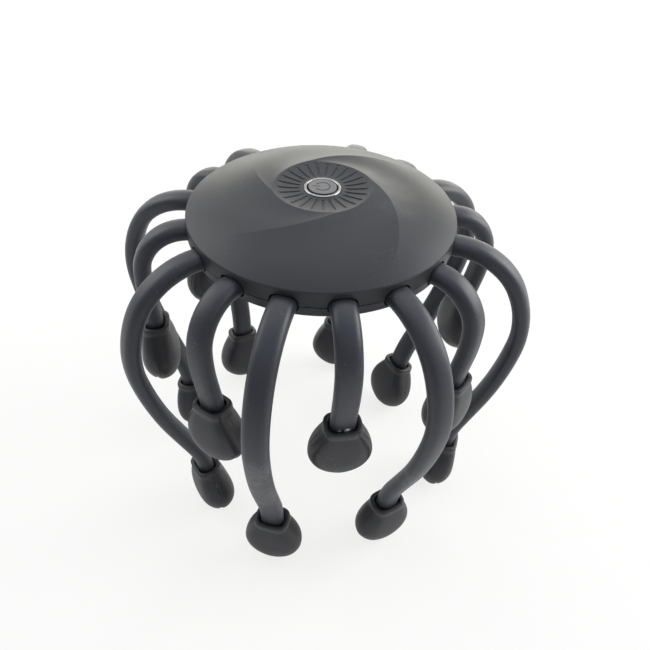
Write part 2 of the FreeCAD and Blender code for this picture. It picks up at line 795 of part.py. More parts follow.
def top_cover(pockets):
    """Dome with its swirl, dish and grooves, sockets, screw bosses and lead ways."""
    fall, inward, upward = RIM_SHARES
    start = f"{RIM} - rim_round * {fall}"
    shoulder = f"hub_radius - rim_round * {inward}"
    top = f"{CROWN} + overrun"
    rim = lathe("rim_bar", (
        ("0", "root_height"), ("hub_radius", "root_height"), ("hub_radius", start),
        (shoulder, f"{start} + rim_round * {upward}"), (shoulder, top), ("0", top)), bend=2)
    dome = common("dome", swirl_dome(), rim)
    low = "root_height - overrun"
    ledge = "root_height + rim_rise - cover_wall"
    hollow = lathe("dome_hollow", (
        ("0", low), (SOCKET, low), (SOCKET, ledge), ("dish_radius", CEILING), ("0", CEILING)))
    bosses = round_posts("top_bosses", "boss_radius", "cover_screw_place",
                         "root_height", "boss_rise", SCREW_TURNS)
    shell = join("dome_shell", cut("hollow_dome", dome, dish_tool("dish", "0"), hollow), bosses)
    bars = radial_bars("groove_bars", "groove_start", "groove_length", "groove_width",
                       CEILING, "dish_depth + 2 * cover_wall", around(round(value("groove_count"))))
    grooves = common("grooves", bars, dish_tool("groove_floor", "groove_depth"))
    seat = primitive("Cylinder", "bezel_seat", z=f"{DISH} - bezel_sink",
                     Radius="button_radius + button_gap + bezel_width + bezel_fit",
                     Height="overrun")
    throat = primitive("Cylinder", "bezel_throat", z=f"{CEILING} - overrun",
                       Radius="button_radius + button_gap + bezel_neck + bezel_fit",
                       Height="cover_wall + 2 * overrun")
    holes = round_posts("top_screw_holes", "cover_screw_radius + screw_room",
                        "cover_screw_place", low, "boss_rise", SCREW_TURNS)
    ways = radial_bars("lead_ways", f"{SOCKET} - overrun", "socket_depth / 2 + overrun",
                       "lead_width + 2 * lead_room", f"{LEAD_LEVEL} - lead_room",
                       "lead_thickness + 2 * lead_room", leg_turns())
    drilled = cut("drilled_cover", shell, join("button_hole", seat, throat), holes, ways)
    return cut("cover_with_sockets", cut("grooved_cover", drilled, grooves), pockets)


pocket_tool = leg_pockets()
node("top_cover", top_cover(pocket_tool))


# Bottom cover


def bottom_cover(pockets):
    """Pan with the lower halves of the sockets, posts, screw holes and a charging slot."""
    pan = lathe("base_pan", (
        ("0", UNDERSIDE), ("hub_radius - base_taper - base_round", UNDERSIDE),
        ("hub_radius - base_taper", BASE_EDGE), ("hub_radius - base_inset", "root_height - base_line"),
        ("hub_radius - base_step", "root_height - base_line"),
        ("hub_radius - base_step", "root_height"),
        (SOCKET, "root_height"), (SOCKET, FLOOR), ("0", FLOOR)))
    height = "base_drop + base_bulge - cover_wall"
    bosses = round_posts("base_bosses", "boss_radius", "cover_screw_place",
                         FLOOR, height, SCREW_TURNS)
    posts = round_posts("board_posts", "board_post_radius", "board_post_place",
                        FLOOR, f"{height} + board_rise", SCREW_TURNS)
    low = f"{UNDERSIDE} - overrun"
    shanks = round_posts("base_screw_holes", "cover_screw_radius + screw_room",
                         "cover_screw_place", low, "base_drop + base_bulge + 2 * overrun",
                         SCREW_TURNS)
    heads = round_posts("base_head_holes", "cover_head_radius + screw_room",
                        "cover_screw_place", low,
                        "overrun + cover_head_sink + cover_head_height", SCREW_TURNS)
    threads = round_posts("post_holes", "board_screw_radius + screw_room", "board_post_place",
                          f"{BOARD} - board_screw_length", "board_screw_length + overrun",
                          SCREW_TURNS)
    mouth = rounded_rectangle(
        "charge_opening", "charge_width + 2 * charge_room", "charge_depth + 2 * charge_room",
        "charge_corner + charge_room", Placement())
    place(mouth, y="charge_place", z=low)
    slot = extruded("charge_slot", mouth, UP, "cover_wall + 2 * overrun")
    body = join("base_body", pan, bosses, posts)
    drilled = cut("drilled_base", body, join("base_drills", shanks, heads), threads, slot)
    return cut("base_with_sockets", drilled, pockets)


node("bottom_cover", bottom_cover(pocket_tool))


# Button and its ring


def at_height(height):
    """A test for round edges at one height."""
    level = value(height)
    return lambda edge: edge.Closed and abs(edge.CenterOfMass.z - level) < 1e-6


def power_symbol(top):
    """An open ring and a line that points to the left, as cutting shapes."""
    low = f"{top} - symbol_depth"
    deep = "symbol_depth + overrun"
    disc = primitive("Cylinder", "symbol_disc", z=low, Height=deep,
                     Radius="symbol_radius + symbol_width / 2", Angle="360 - symbol_gap")
    disc.Placement.Rotation = Rotation(UP, 180 + value("symbol_gap") / 2)
    core = primitive("Cylinder", "symbol_core", z=low, Height=deep,
                     Radius="symbol_radius - symbol_width / 2")
    bar = primitive("Box", "symbol_bar", f"-symbol_radius * {BAR_SHARE}", "-symbol_width / 2", low,
                    Length="symbol_radius", Width="symbol_width", Height=deep)
    return group("power_symbol", cut("symbol_ring", disc, core), bar)


def power_button():
    """Cap with a flange that the ring holds down, and a stem down to the switch."""
    top = f"{DISH} + button_proud"
    under = f"{top} - button_depth"
    cap = primitive("Cylinder", "button_cap", z=under, Radius="button_radius",
                    Height="button_depth")
    brim = primitive("Cylinder", "button_brim", z=f"{FLANGE_TOP} - button_flange",
                     Radius="button_radius + button_flange", Height="button_flange")
    neck = primitive("Cylinder", "button_neck", z=f"{FLANGE_TOP} - button_flange",
                     Radius="button_radius", Height=f"{under} - ({FLANGE_TOP}) + button_flange")
    foot_level = f"{BOARD_TOP} + switch_height + plunger_proud"
    stem = primitive("Cylinder", "button_stem_bar", z=foot_level, Radius="button_stem",
                     Height=f"{FLANGE_TOP} - ({foot_level})")
    body = join("button_body", cap, brim, neck, stem)
    return cut("button", rounded("soft_button", body, "button_round", at_height(top)),
               power_symbol(top))


FLANGE_TOP = f"{CEILING} - bezel_tail - button_room"


def button_bezel():
    """Bright ring with a neck that goes down through the cover."""
    inside = "button_radius + button_gap"
    seat = f"{DISH} - bezel_sink"
    tail = f"{CEILING} - bezel_tail"
    head = primitive("Cylinder", "bezel_head", z=seat, Radius=f"{inside} + bezel_width",
                     Height="bezel_sink + bezel_proud")
    neck = primitive("Cylinder", "bezel_neck_bar", z=tail, Radius=f"{inside} + bezel_neck",
                     Height=f"{seat} - ({tail})")
    hole = primitive("Cylinder", "bezel_hole", z=f"{tail} - overrun", Radius=inside,
                     Height="cover_wall + dish_depth + 2 * overrun")
    top = f"{DISH} + bezel_proud"
    ring = cut("raw_bezel", join("bezel_body", head, neck), hole)
    return rounded("bezel", ring, "bezel_width / 3", at_height(top))


node("power_button", power_button())
node("button_bezel", button_bezel())


# Inside the hub


def screws(name, at, z, radius, length, head_radius, head_height, up):
    """Cross-slotted screws on one circle. Up is 1 where the shank points up, else -1."""
    shank = primitive("Cylinder", f"{name}_shank", at, "0",
                      z if up > 0 else f"{z} - {length}", Radius=radius, Height=length)
    cap_z = f"{z} - {head_height}" if up > 0 else z
    cap = primitive("Cylinder", f"{name}_cap", at, "0", cap_z,
                    Radius=head_radius, Height=head_height)
    outer = cap_z if up > 0 else f"{z} + {head_height}"
    slot_z = f"{outer} - {head_height} / 2"
    slots = [
        block(f"{name}_slot_{k}", *sides, head_height, at, "0", slot_z)
        for k, sides in enumerate((("socket_slot", "socket_slot_width"),
                                   ("socket_slot_width", "socket_slot")))
    ]
    screw = cut(f"{name}_screw", join(f"{name}_body", shank, cap), *slots)
    return copies(name, screw, SCREW_TURNS)


def circuit_board():
    """Round board on four posts."""
    disc = primitive("Cylinder", "board_disc", z=BOARD, Radius="board_radius",
                     Height="board_thickness")
    holes = round_posts("board_holes", "board_screw_radius + screw_room", "board_post_place",
                        f"{BOARD} - overrun", "board_thickness + 2 * overrun", SCREW_TURNS)
    return cut("board", disc, holes)


def switch_parts():
    """Push switch on the board, and the plunger that the button's stem presses."""
    body = block("switch_block", "switch_side", "switch_side", "switch_height", z=BOARD_TOP)
    top = f"{BOARD_TOP} + switch_height"
    well = primitive("Cylinder", "switch_well", Radius="plunger_radius + plunger_room",
                     Height="plunger_depth + button_travel + plunger_room + overrun",
                     z=f"{top} - plunger_depth - button_travel - plunger_room")
    plunger = primitive("Cylinder", "plunger", z=f"{top} - plunger_depth",
                        Radius="plunger_radius", Height="plunger_depth + plunger_proud")
    return cut("switch", body, well), plunger


def battery_pack():
    """Flat cell on the board beside the switch."""
    cell = primitive("Box", "battery_cell", "battery_place", "-battery_length / 2", BOARD_TOP,
                     Length="battery_width", Width="battery_length", Height="battery_height")
    upright = lambda edge: abs(edge.tangentAt(edge.FirstParameter).z) > 0.99
    return rounded("battery", cell, "battery_round", upright)


def charge_socket():
    """Charging socket under the board, open downwards through the underside."""
    bottom = f"{UNDERSIDE} + charge_inlet"
    outer = rounded_rectangle("charge_outline", "charge_width", "charge_depth",
                              "charge_corner", Placement())
    place(outer, y="charge_place", z=bottom)
    shell = extruded("charge_shell_bar", outer, UP, f"{BOARD} - ({bottom})")
    inner = rounded_rectangle(
        "charge_bore", "charge_width - 2 * charge_shell", "charge_depth - 2 * charge_shell",
        "charge_corner - charge_shell", Placement())
    place(inner, y="charge_place", z=bottom)
    bore = extruded("charge_cavity", inner, UP, "charge_inside")
    tongue = block("charge_tongue_bar", "charge_tongue", "charge_tongue_depth",
                   "charge_inside", y="charge_place", z=f"{bottom} + charge_tongue_short")
    return join("charge_port", cut("charge_can", shell, bore), tongue)


node("circuit_board", circuit_board())
switch, plunger = switch_parts()
node("switch_body", switch)
node("switch_plunger", plunger)
node("battery_pack", battery_pack())
node("charge_socket", charge_socket())
node("motor_leads", radial_bars(
    "lead_ribbons", f"{LEAD_END} - lead_length", "lead_length", "lead_width",
    LEAD_LEVEL, "lead_thickness", leg_turns()))
node("cover_screws", screws(
    "cover_fasteners", "cover_screw_place", f"{UNDERSIDE} + cover_head_sink + cover_head_height",
    "cover_screw_radius", "cover_screw_length", "cover_head_radius", "cover_head_height", 1))
node("board_screws", screws(
    "board_fasteners", "board_post_place", BOARD_TOP, "board_screw_radius",
    "board_screw_length", "board_head_radius", "board_head_height", -1))

doc.recompute()

# Every object has to be sound before anything is written
for thing in doc.Objects:
    if "Invalid" in thing.State or "Error" in thing.State:
        raise RuntimeError(f"{thing.Name} failed: {thing.State}")
shapes = {thing.Label: Part.getShape(thing) for thing in nodes}
for name, shape in shapes.items():
    if shape.isNull() or not shape.isValid() or not shape.Solids:
        raise RuntimeError(f"{name} has no sound solid")

os.makedirs("parts", exist_ok=True)
for name, shape in shapes.items():
    shape.exportStep(f"parts/{name}.step")
    print(name, len(shape.Solids), round(shape.Volume, 1))
print("leg axes above the floor", round(root_height, 3))
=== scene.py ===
import json
import math

import bmesh
import bpy
from bpy.props import FloatProperty, FloatVectorProperty, PointerProperty
from mathutils import Matrix, Vector


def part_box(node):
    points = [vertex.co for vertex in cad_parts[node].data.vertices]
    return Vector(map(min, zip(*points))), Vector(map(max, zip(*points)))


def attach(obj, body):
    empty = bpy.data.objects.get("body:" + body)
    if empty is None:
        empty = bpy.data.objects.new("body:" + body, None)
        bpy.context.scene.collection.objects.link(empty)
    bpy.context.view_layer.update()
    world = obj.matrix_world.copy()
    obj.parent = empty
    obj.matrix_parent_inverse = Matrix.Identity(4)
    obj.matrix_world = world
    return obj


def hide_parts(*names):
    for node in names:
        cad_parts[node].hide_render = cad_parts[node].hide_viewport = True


bl_info = {
    "name": "Head Massager",
    "version": (1, 0, 0),
    "blender": (4, 5, 0),
    "location": "View3D > Sidebar > Massager",
    "description": "Models the rubber legs and feet of a head massager and finishes its hub",
    "category": "Object",
}

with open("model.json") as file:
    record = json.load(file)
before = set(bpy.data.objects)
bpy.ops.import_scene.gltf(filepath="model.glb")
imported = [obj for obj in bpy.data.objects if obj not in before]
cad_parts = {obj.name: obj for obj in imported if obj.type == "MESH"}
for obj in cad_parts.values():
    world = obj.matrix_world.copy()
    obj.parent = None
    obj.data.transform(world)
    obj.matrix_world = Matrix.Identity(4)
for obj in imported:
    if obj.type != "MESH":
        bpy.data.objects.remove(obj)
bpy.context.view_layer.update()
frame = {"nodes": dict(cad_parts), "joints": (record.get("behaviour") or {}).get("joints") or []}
NODES = frame["nodes"]
LEG_JOINTS = [joint for joint in frame["joints"] if joint["name"].endswith("_flex")]

MM = 0.001
TINY = 1e-6
WHITE = (1, 1, 1, 1)

# Runs of each kind of leg from the rim outward: the radius and turn of a bend in
# metres and degrees, or no radius and the length of a straight run
LEG_RUNS = {
    "long": ((None, 1 * MM), (31.4 * MM, 62.9), (51 * MM, 35.9), (155.5 * MM, 13.7),
             (None, 17.6 * MM), (58 * MM, -15.4), (None, 12 * MM)),
    "short": ((None, 1 * MM), (18.3 * MM, 47.5), (20.3 * MM, 41.2), (77.9 * MM, 10.9),
              (None, 8.3 * MM), (50 * MM, -5.7), (None, 12 * MM)),
}
# How far each leg stands bent outward, in degrees, from the front towards +X
LEG_BENDS = (-3.3, -1.2, 0.0, 0.5, -0.4, -4.5, 0.0, 0.8, 0.0, 1.6, 0.3, 0.8, 1.9, -2.2, 1.9, 0.5)
# Sections of a foot from collar to sole, as shares: height, width and depth of the
# foot's own, and the corners' reach across and along of the section's depth and width
FOOT_SECTIONS = (
    (0.000, 0.562, 0.688, 0.36, 0.26),
    (0.018, 0.585, 0.712, 0.36, 0.26),
    (0.075, 0.594, 0.720, 0.35, 0.25),
    (0.102, 0.572, 0.698, 0.35, 0.25),
    (0.150, 0.630, 0.740, 0.35, 0.25),
    (0.240, 0.755, 0.820, 0.35, 0.26),
    (0.340, 0.870, 0.890, 0.36, 0.28),
    (0.450, 0.965, 0.955, 0.38, 0.31),
    (0.560, 1.010, 1.005, 0.40, 0.34),
    (0.660, 1.005, 1.010, 0.43, 0.39),
    (0.760, 0.920, 0.950, 0.45, 0.42),
    (0.850, 0.775, 0.805, 0.47, 0.46),
    (0.930, 0.560, 0.585, 0.49, 0.48),
    (0.985, 0.305, 0.320, 0.49, 0.49),
    (1.000, 0.150, 0.155, 0.49, 0.49),
)
# Where the groove across the sole starts and the mould lines end, as shares of the
# foot's height
SOLE_SHARE = 0.72
LINE_SHARE = 0.9
# Edges cut beside the middle of that groove, and how far its floor reaches from there
SOLE_EDGES = (-1.3 * MM, -0.5 * MM, 0.5 * MM, 1.3 * MM)
SOLE_FLOOR = 0.6 * MM
# Edges cut along a foot's mould line and beside it
LINE_EDGES = (-0.3 * MM, 0.0, 0.3 * MM)
# Edges cut along a sleeve's mould line and beside it, in heights of that line
RIDGE_EDGES = (3, 0, -3)
# Steps of the mesh round corners, round a sleeve's root and round a collar's edges
SLEEVE_CORNER_STEPS = 6
SLEEVE_ROOT_STEPS = 12
FOOT_CORNER_STEPS = 3
COLLAR_STEPS = 4
# Bevel profile of a round corner, and how often the faces of a foot are halved to round it
ROUND_PROFILE = 0.5
FOOT_ROUNDING = 2
# Angles in degrees from which the edges of sleeves and feet stay sharp, and from which
# the edges of a collar are rounded
SLEEVE_SHARP = 40
FOOT_SHARP = 50
COLLAR_SHARP = 46
# Least part of a normal along an axis where a face lies flat across it, and where a face
# or a corner looks to that side
FLAT = 0.9
SIDEWAYS = 0.5

# Specks of glue in the collars: leg, distance along the rim and reach; and their height
GLUE_SPOTS = ((0, 1.2 * MM, 1.7 * MM), (0, -2.2 * MM, 1.1 * MM), (5, -1.0 * MM, 1.6 * MM),
              (12, 0.5 * MM, 1.4 * MM))
GLUE_RISE = 0.4 * MM
# Scratched parts of legs: leg, height above the collar, place outward and reach
SCUFF_SPOTS = ((15, 38 * MM, 12 * MM, 15 * MM), (15, 60 * MM, 15 * MM, 16 * MM),
               (1, 38 * MM, 12 * MM, 15 * MM))
# Grooves round the button, the first one towards +X, with the length of their ends, which are made pale
# with painted light, and how far their edges are blurred
GROOVES = {"count": 25, "start": 9.3 * MM, "length": 9.2 * MM, "width": 1.35 * MM,
           "end": 1.3 * MM, "blur": 0.1 * MM}
# Smears on the top cover, which partly paint a pale reflection beside one crease: place and reach; and
# a pit in it, whose shade is painted near-black
SMEAR_AND_SHEEN_SPOTS = (
    ((23.5 * MM, 14.1 * MM, 162.6 * MM), 11 * MM),
    ((29.5 * MM, 3.0 * MM, 162.4 * MM), 13 * MM),
    ((31.0 * MM, -9.2 * MM, 162.5 * MM), 11 * MM),
)
PIT_SPOT = (-4.0 * MM, 19.4 * MM, 164.3 * MM)
PIT_REACH = 1.0 * MM
# Power button: a circle round its symbol, the depth from which the symbol is dark, where its side
# starts, which is painted dark as painted shade, and how far these edges are blurred
SYMBOL_REACH = 4.7 * MM
SYMBOL_DEPTH = 0.07 * MM
SYMBOL_BLUR = 0.03 * MM
BUTTON_SIDE = 5.7 * MM
BUTTON_BLUR = 0.1 * MM

# Side of the floor, the colour of its own glow, and the share of that glow that the camera
# sees and that shows in reflections
FLOOR_SIZE = 6.0
FLOOR_GLOW = (1, 1, 0.985, 1)
FLOOR_SEEN = 0.77
FLOOR_MIRRORED = 0.2
# The brightest side of the room, its light from the front left and from overhead, and
# where the one and the other begin and end, as parts of a direction of length 1
ROOM_SIDE = (0.45, 0.89, 0.0)
ROOM_FRONT = (0.45, 0.46, 0.50, 1)
ROOM_FRONT_RANGE = (-0.7, 0.3)
ROOM_ABOVE = (0.80, 0.84, 0.98, 1)
ROOM_ABOVE_RANGE = (0.35, 0.85)
# Strength of the room's light, and of the room in reflections
ROOM_LIGHT = 0.6
ROOM_MIRRORED = 1.0
# Soft panels: place, width, height, power in watts and colour; and where they point
PANELS = {
    "back_panel": ((0.15, 1.3, 0.24), 1.7, 0.44, 6.2, (1.0, 0.98, 0.85)),
    "left_panel": ((-0.95, 0.35, 0.75), 0.9, 0.9, 5.2, (1.0, 1.0, 0.97)),
    "right_panel": ((1.0, 0.30, 0.55), 0.9, 0.8, 11.3, (1.0, 1.0, 1.0)),
    "top_panel": ((0.0, 0.45, 1.15), 1.0, 1.0, 2.4, (0.95, 0.97, 1.0)),
}
PANEL_TARGET = (0, 0, 0.08)
# Width of the camera's sensor in millimetres, and the nearest distance that it shows
SENSOR_WIDTH = 36
CAMERA_NEAR = 0.01


# Settings


def length(name, description, default, low=0.1 * MM):
    """A length among the settings."""
    return FloatProperty(
        name=name, description=description, default=default, min=low, unit="LENGTH", precision=5)


def share(name, description, default):
    """A share among the settings, of a section's side that has a corner at each end."""
    return FloatProperty(name=name, description=description, default=default, min=0.05, max=0.49)


def angle(name, description, degrees):
    """An angle among the settings."""
    return FloatProperty(
        name=name, description=description, default=math.radians(degrees), subtype="ANGLE")


def colour(name, description, default):
    """A colour among the settings."""
    return FloatVectorProperty(
        name=name, description=description, default=default, min=0, max=1, subtype="COLOR")


class LegSizes(bpy.types.PropertyGroup):
    """Sizes of the rubber sleeves over the legs."""

    width: length("Width", "Sleeve along the rim", 10.5 * MM)
    depth: length("Depth", "Sleeve across", 7.3 * MM)
    along: share("Corners Along", "Reach of the section's corners, as a share of its width", 0.35)
    across: share("Corners Across", "Reach of the section's corners, as a share of its depth", 0.45)
    ridge: length("Mould Line", "Height of the mould line on the narrow sides", 0.1 * MM, 0.01 * MM)
    crown: length("Crown", "Rise of the broad sides' middle", 0.15 * MM, 0.0)
    step: length("Step", "Length of the mesh's faces along the leg", 2.5 * MM)


class FootSizes(bpy.types.PropertyGroup):
    """Sizes of the rubber feet."""

    width: length("Width", "Foot along the rim", 26.9 * MM)
    depth: length("Depth", "Foot across", 17.2 * MM)
    height: length("Height", "Foot from collar to sole", 31.2 * MM)
    lip: length("Lip", "Wall round the collar's mouth", 1.9 * MM)
    edge: length("Edge", "Rounding of the collar's edges", 0.6 * MM)
    mouth: length("Mouth", "Depth of the collar's mouth", 2.4 * MM)
    pocket: length("Pocket", "Depth of the hole for the end of the leg", 12.1 * MM)
    room: length("Room", "Room round the end of the leg", 0.1 * MM, 0.0)
    seam: length("Seam", "Distance of the groove outside the middle of the sole", 2.4 * MM, 0.0)
    groove: length("Groove", "Depth of the groove across the sole", 0.6 * MM, 0.0)
    line: length("Mould Line", "Depth of the mould lines on the narrow sides", 0.12 * MM, 0.0)


class Finish(bpy.types.PropertyGroup):
    """Colours of the massager."""

    cover: colour("Covers", "Matte plastic of the two covers", (0.022, 0.023, 0.025))
    # Painted shade: the floors of the grooves are painted darker than the cover.
    groove: colour("Grooves", "Floors of the grooves round the button", (0.017, 0.017, 0.019))
    # Painted light: the walls and ends of the grooves are painted pale, lifting the shade and shadows
    # in them.
    groove_wall_light: colour("Groove Walls", "Walls and ends of the grooves", (0.10, 0.10, 0.10))
    # Painted shade: the pit's shade is painted with this near-black colour.
    pit: colour("Pit", "Pit in the top cover", (0.004, 0.004, 0.004))
    sleeve: colour("Sleeves", "Soft rubber of the legs", (0.0205, 0.022, 0.029))
    worn: colour("Worn Rubber", "Scratched parts of the legs", (0.30, 0.30, 0.29))
    glue: colour("Glue", "Specks of glue in the collars", (0.85, 0.86, 0.86))
    foot: colour("Feet", "Rubber of the feet", (0.017, 0.017, 0.018))
    button: colour("Button", "Satin plastic of the power button", (0.155, 0.158, 0.158))
    # Painted shade: this dark colour also covers the side of the button, in the gap round it.
    symbol: colour("Symbol", "Power symbol and side of the button", (0.012, 0.012, 0.013))
    ring: colour("Ring", "Bright metal round the button", (0.40, 0.39, 0.365))
    # Also used, faintly, for the smears on the top cover, which partly paint a pale reflection.
    dust: colour("Dust", "Dust, scuffs and smears", (0.36, 0.35, 0.33))


class Stage(bpy.types.PropertyGroup):
    """Floor and camera."""

    floor: colour("Floor", "Colour of the floor", (0.95, 0.945, 0.925))
    camera: FloatVectorProperty(
        name="Camera", description="Place of the camera",
        subtype="TRANSLATION", unit="LENGTH", default=(0.00841, -0.25506, 0.31317))
    pitch: angle("Pitch", "Camera below the horizon", 41.258)
    heading: angle("Heading", "Camera turned from +Y towards -X", 1.087)
    roll: angle("Roll", "Camera turned about its own line of sight", 2.663)
    lens: FloatProperty(
        name="Lens", description="Focal length of the camera", unit="CAMERA", default=39.711)


# Modelling


def begin(name, add, **how):
    """Add a primitive and open it for editing, all of it selected."""
    bpy.ops.object.select_all(action="DESELECT")
    add(**how)
    piece = bpy.context.object
    piece.name = name
    piece.data.name = name
    bpy.ops.object.transform_apply(location=True, rotation=True, scale=True)
    bpy.ops.object.mode_set(mode="EDIT")
    return piece


def select(piece, kind, test):
    """Select those vertices, edges or faces of an open piece that a test takes."""
    bpy.ops.mesh.select_mode(type=kind)
    bpy.ops.mesh.select_all(action="DESELECT")
    cage = bmesh.from_edit_mesh(piece.data)
    for part in {"VERT": cage.verts, "EDGE": cage.edges, "FACE": cage.faces}[kind]:
        if test(part):
            part.select_set(True)
    cage.select_flush_mode()
    bmesh.update_edit_mesh(piece.data)


def pull(x=0.0, y=0.0, z=0.0):
    """Extrude what is selected."""
    bpy.ops.mesh.extrude_region_move(TRANSFORM_OT_translate={"value": (x, y, z)})


def stretch(x=1.0, y=1.0, z=1.0, about=(0.0, 0.0, 0.0)):
    """Scale what is selected about a point."""
    bpy.ops.transform.resize(value=(x, y, z), center_override=about)


def slice_at(piece, point, normal, test=lambda face: True):
    """Cut new edges where a plane crosses those faces of an open piece that a test takes."""
    select(piece, "FACE", test)
    bpy.ops.mesh.bisect(plane_co=point, plane_no=normal, threshold=TINY / 10)


def round_off(kind, reach, steps):
    """Round the selected corners (VERTICES) or edges (EDGES)."""
    bpy.ops.mesh.bevel(offset=reach, segments=steps, profile=ROUND_PROFILE, affect=kind)


def finish_mesh(sharp):
    """Close the piece being edited: merged, facing outward and smooth below an angle."""
    bpy.ops.mesh.select_mode(type="VERT")
    bpy.ops.mesh.select_all(action="SELECT")
    bpy.ops.mesh.remove_doubles(threshold=TINY)
    bpy.ops.mesh.normals_make_consistent(inside=False)
    bpy.ops.object.mode_set(mode="OBJECT")
    bpy.ops.object.shade_smooth_by_angle(angle=math.radians(sharp))


def copy_of(master, name, spot):
    """A copy of a finished piece with its own mesh, its place in that mesh."""
    bpy.ops.object.select_all(action="DESELECT")
    master.select_set(True)
    bpy.context.view_layer.objects.active = master
    bpy.ops.object.duplicate(linked=False)
    piece = bpy.context.object
    piece.name = name
    piece.data.name = name
    piece.matrix_world = spot
    bpy.ops.object.transform_apply(location=True, rotation=True, scale=True)
    return piece


# Legs and feet


def leg_kind(number):
    """Short and long legs in turn, the first one short."""
    return "long" if number % 2 else "short"


def leg_names():
    """Each leg's number from 0 and the name of its body."""
    return [(number, f"leg_{number + 1:02d}") for number in range(len(LEG_JOINTS))]


def walk(kind):
    """Each run of a leg with its start and its heading below the horizontal in radians."""
    x = z = heading = 0.0
    for radius, amount in LEG_RUNS[kind]:
        yield radius, amount, x, z, heading
        if radius is None:
            x += amount * math.cos(heading)
            z -= amount * math.sin(heading)
        else:
            bend = math.copysign(radius, amount)
            x -= bend * math.sin(heading)
            z -= bend * math.cos(heading)
            heading += math.radians(amount)
            x += bend * math.sin(heading)
            z += bend * math.cos(heading)


def foot_spot(kind):
    """Where a foot hangs in its leg's frame: at the start of the leg's last run."""
    *_, (_, _, x, z, heading) = walk(kind)
    return Matrix.Translation((x, 0, z)) @ Matrix.Rotation(heading - math.pi / 2, 4, "Y")


def leg_frame(number):
    """A leg's frame as it stands: X outward, Y along the rim, from its joint."""
    joint = LEG_JOINTS[number]
    spot = Vector(joint["pos_m"])
    along = -Vector(joint["axis"]).normalized()
    out = Vector((spot.x, spot.y, 0)).normalized()
    up = out.cross(along)
    turn = Matrix((out, along, up)).transposed().to_4x4()
    bend = Matrix.Rotation(-math.radians(LEG_BENDS[number]), 4, "Y")
    return Matrix.Translation(spot) @ turn @ bend


def foot_frame(number):
    """A foot's frame as it stands: its collar at the origin, Z up along the leg's end."""
    return leg_frame(number) @ foot_spot(leg_kind(number))


def model_sleeve(kind, sizes):
    """A rubber sleeve: its section carried along the runs of the leg, its root round."""
    piece = begin(f"{kind}_sleeve", bpy.ops.mesh.primitive_plane_add,
                  size=1, rotation=(0, math.pi / 2, 0))
    draw_sleeve_section(piece, sizes)
    select(piece, "FACE", lambda f: True)
    for radius, amount, x, z, heading in walk(kind):
        if radius is None:
            steps = math.ceil(amount / sizes.step)
            for _ in range(steps):
                pull(amount / steps * math.cos(heading), 0, -amount / steps * math.sin(heading))
        else:
            side = math.copysign(1, amount)
            turn = math.radians(abs(amount))
            middle = (x - side * radius * math.sin(heading), 0, z - side * radius * math.cos(heading))
            bpy.ops.mesh.spin(steps=math.ceil(radius * turn / sizes.step), angle=turn,
                              center=middle, axis=(0, -side, 0))
    select(piece, "FACE", lambda f: f.calc_center_median().x < TINY and abs(f.normal.x) > FLAT)
    bpy.ops.mesh.delete(type="FACE")
    select(piece, "EDGE", lambda e: all(abs(v.co.x) < TINY and v.co.z > -TINY for v in e.verts))
    bpy.ops.mesh.spin(steps=SLEEVE_ROOT_STEPS, angle=math.pi, center=(0, 0, 0), axis=(0, 1, 0))
    finish_mesh(SLEEVE_SHARP)
    return piece


def draw_sleeve_section(piece, sizes):
    """Turn a unit square into a sleeve's section, with crowned broad sides and a mould line
    on the narrow ones. Its corners are rounded on a stretched square, so that their reach
    along and across may differ."""
    stretch(y=MM / sizes.along, z=MM / sizes.across)
    round_off("VERTICES", MM, SLEEVE_CORNER_STEPS)
    stretch(y=sizes.width * sizes.along / MM, z=sizes.depth * sizes.across / MM)
    for rise in RIDGE_EDGES:
        slice_at(piece, (0, 0, rise * sizes.ridge), (0, 0, 1))
    slice_at(piece, (0, 0, 0), (0, 1, 0))
    select(piece, "VERT", lambda v: abs(v.co.z) < TINY and abs(v.co.y) > TINY)
    stretch(y=1 + 2 * sizes.ridge / sizes.width)
    select(piece, "VERT", lambda v: abs(v.co.y) < TINY)
    stretch(z=1 + 2 * sizes.crown / sizes.depth)


def model_foot(sizes, leg):
    """A hoof-shaped foot that hangs from its collar at the origin, with a mouth and a
    pocket for the leg, mould lines down its narrow sides and a groove across its sole."""
    piece = model_foot_body(sizes)
    cut_foot_lines(piece, sizes)
    open_collar(piece, sizes, leg)
    finish_mesh(FOOT_SHARP)
    return piece


def model_foot_body(sizes):
    """The body of a foot, open for editing: its sections joined, closed and rounded."""
    piece = None
    for down, wide, deep, across, along in FOOT_SECTIONS:
        level = -sizes.height * down
        if piece is None:
            piece = begin("foot", bpy.ops.mesh.primitive_plane_add, size=1)
        else:
            bpy.ops.mesh.select_all(action="DESELECT")
            bpy.ops.mesh.primitive_plane_add(size=1, location=(0, 0, level))
        bpy.ops.mesh.select_mode(type="VERT")
        stretch(MM / across, MM / along, 1, (0, 0, level))
        round_off("VERTICES", MM, FOOT_CORNER_STEPS)
        stretch(sizes.depth * deep * across / MM, sizes.width * wide * along / MM, 1, (0, 0, level))
    bpy.ops.mesh.select_mode(type="FACE")
    bpy.ops.mesh.select_all(action="SELECT")
    bpy.ops.mesh.delete(type="ONLY_FACE")
    bpy.ops.mesh.select_mode(type="EDGE")
    bpy.ops.mesh.select_all(action="SELECT")
    bpy.ops.mesh.bridge_edge_loops()
    for level in (0.0, -sizes.height):
        select(piece, "EDGE", lambda e: all(abs(v.co.z - level) < TINY for v in e.verts))
        bpy.ops.mesh.edge_face_add()
    select(piece, "EDGE", lambda e: all(abs(v.co.z) < TINY for v in e.verts))
    bpy.ops.transform.edge_crease(value=1)
    bpy.ops.object.mode_set(mode="OBJECT")
    rounding = piece.modifiers.new("rounding", "SUBSURF")
    rounding.levels = FOOT_ROUNDING
    rounding.render_levels = FOOT_ROUNDING
    bpy.ops.object.modifier_apply(modifier=rounding.name)
    bpy.ops.object.mode_set(mode="EDIT")
    return piece


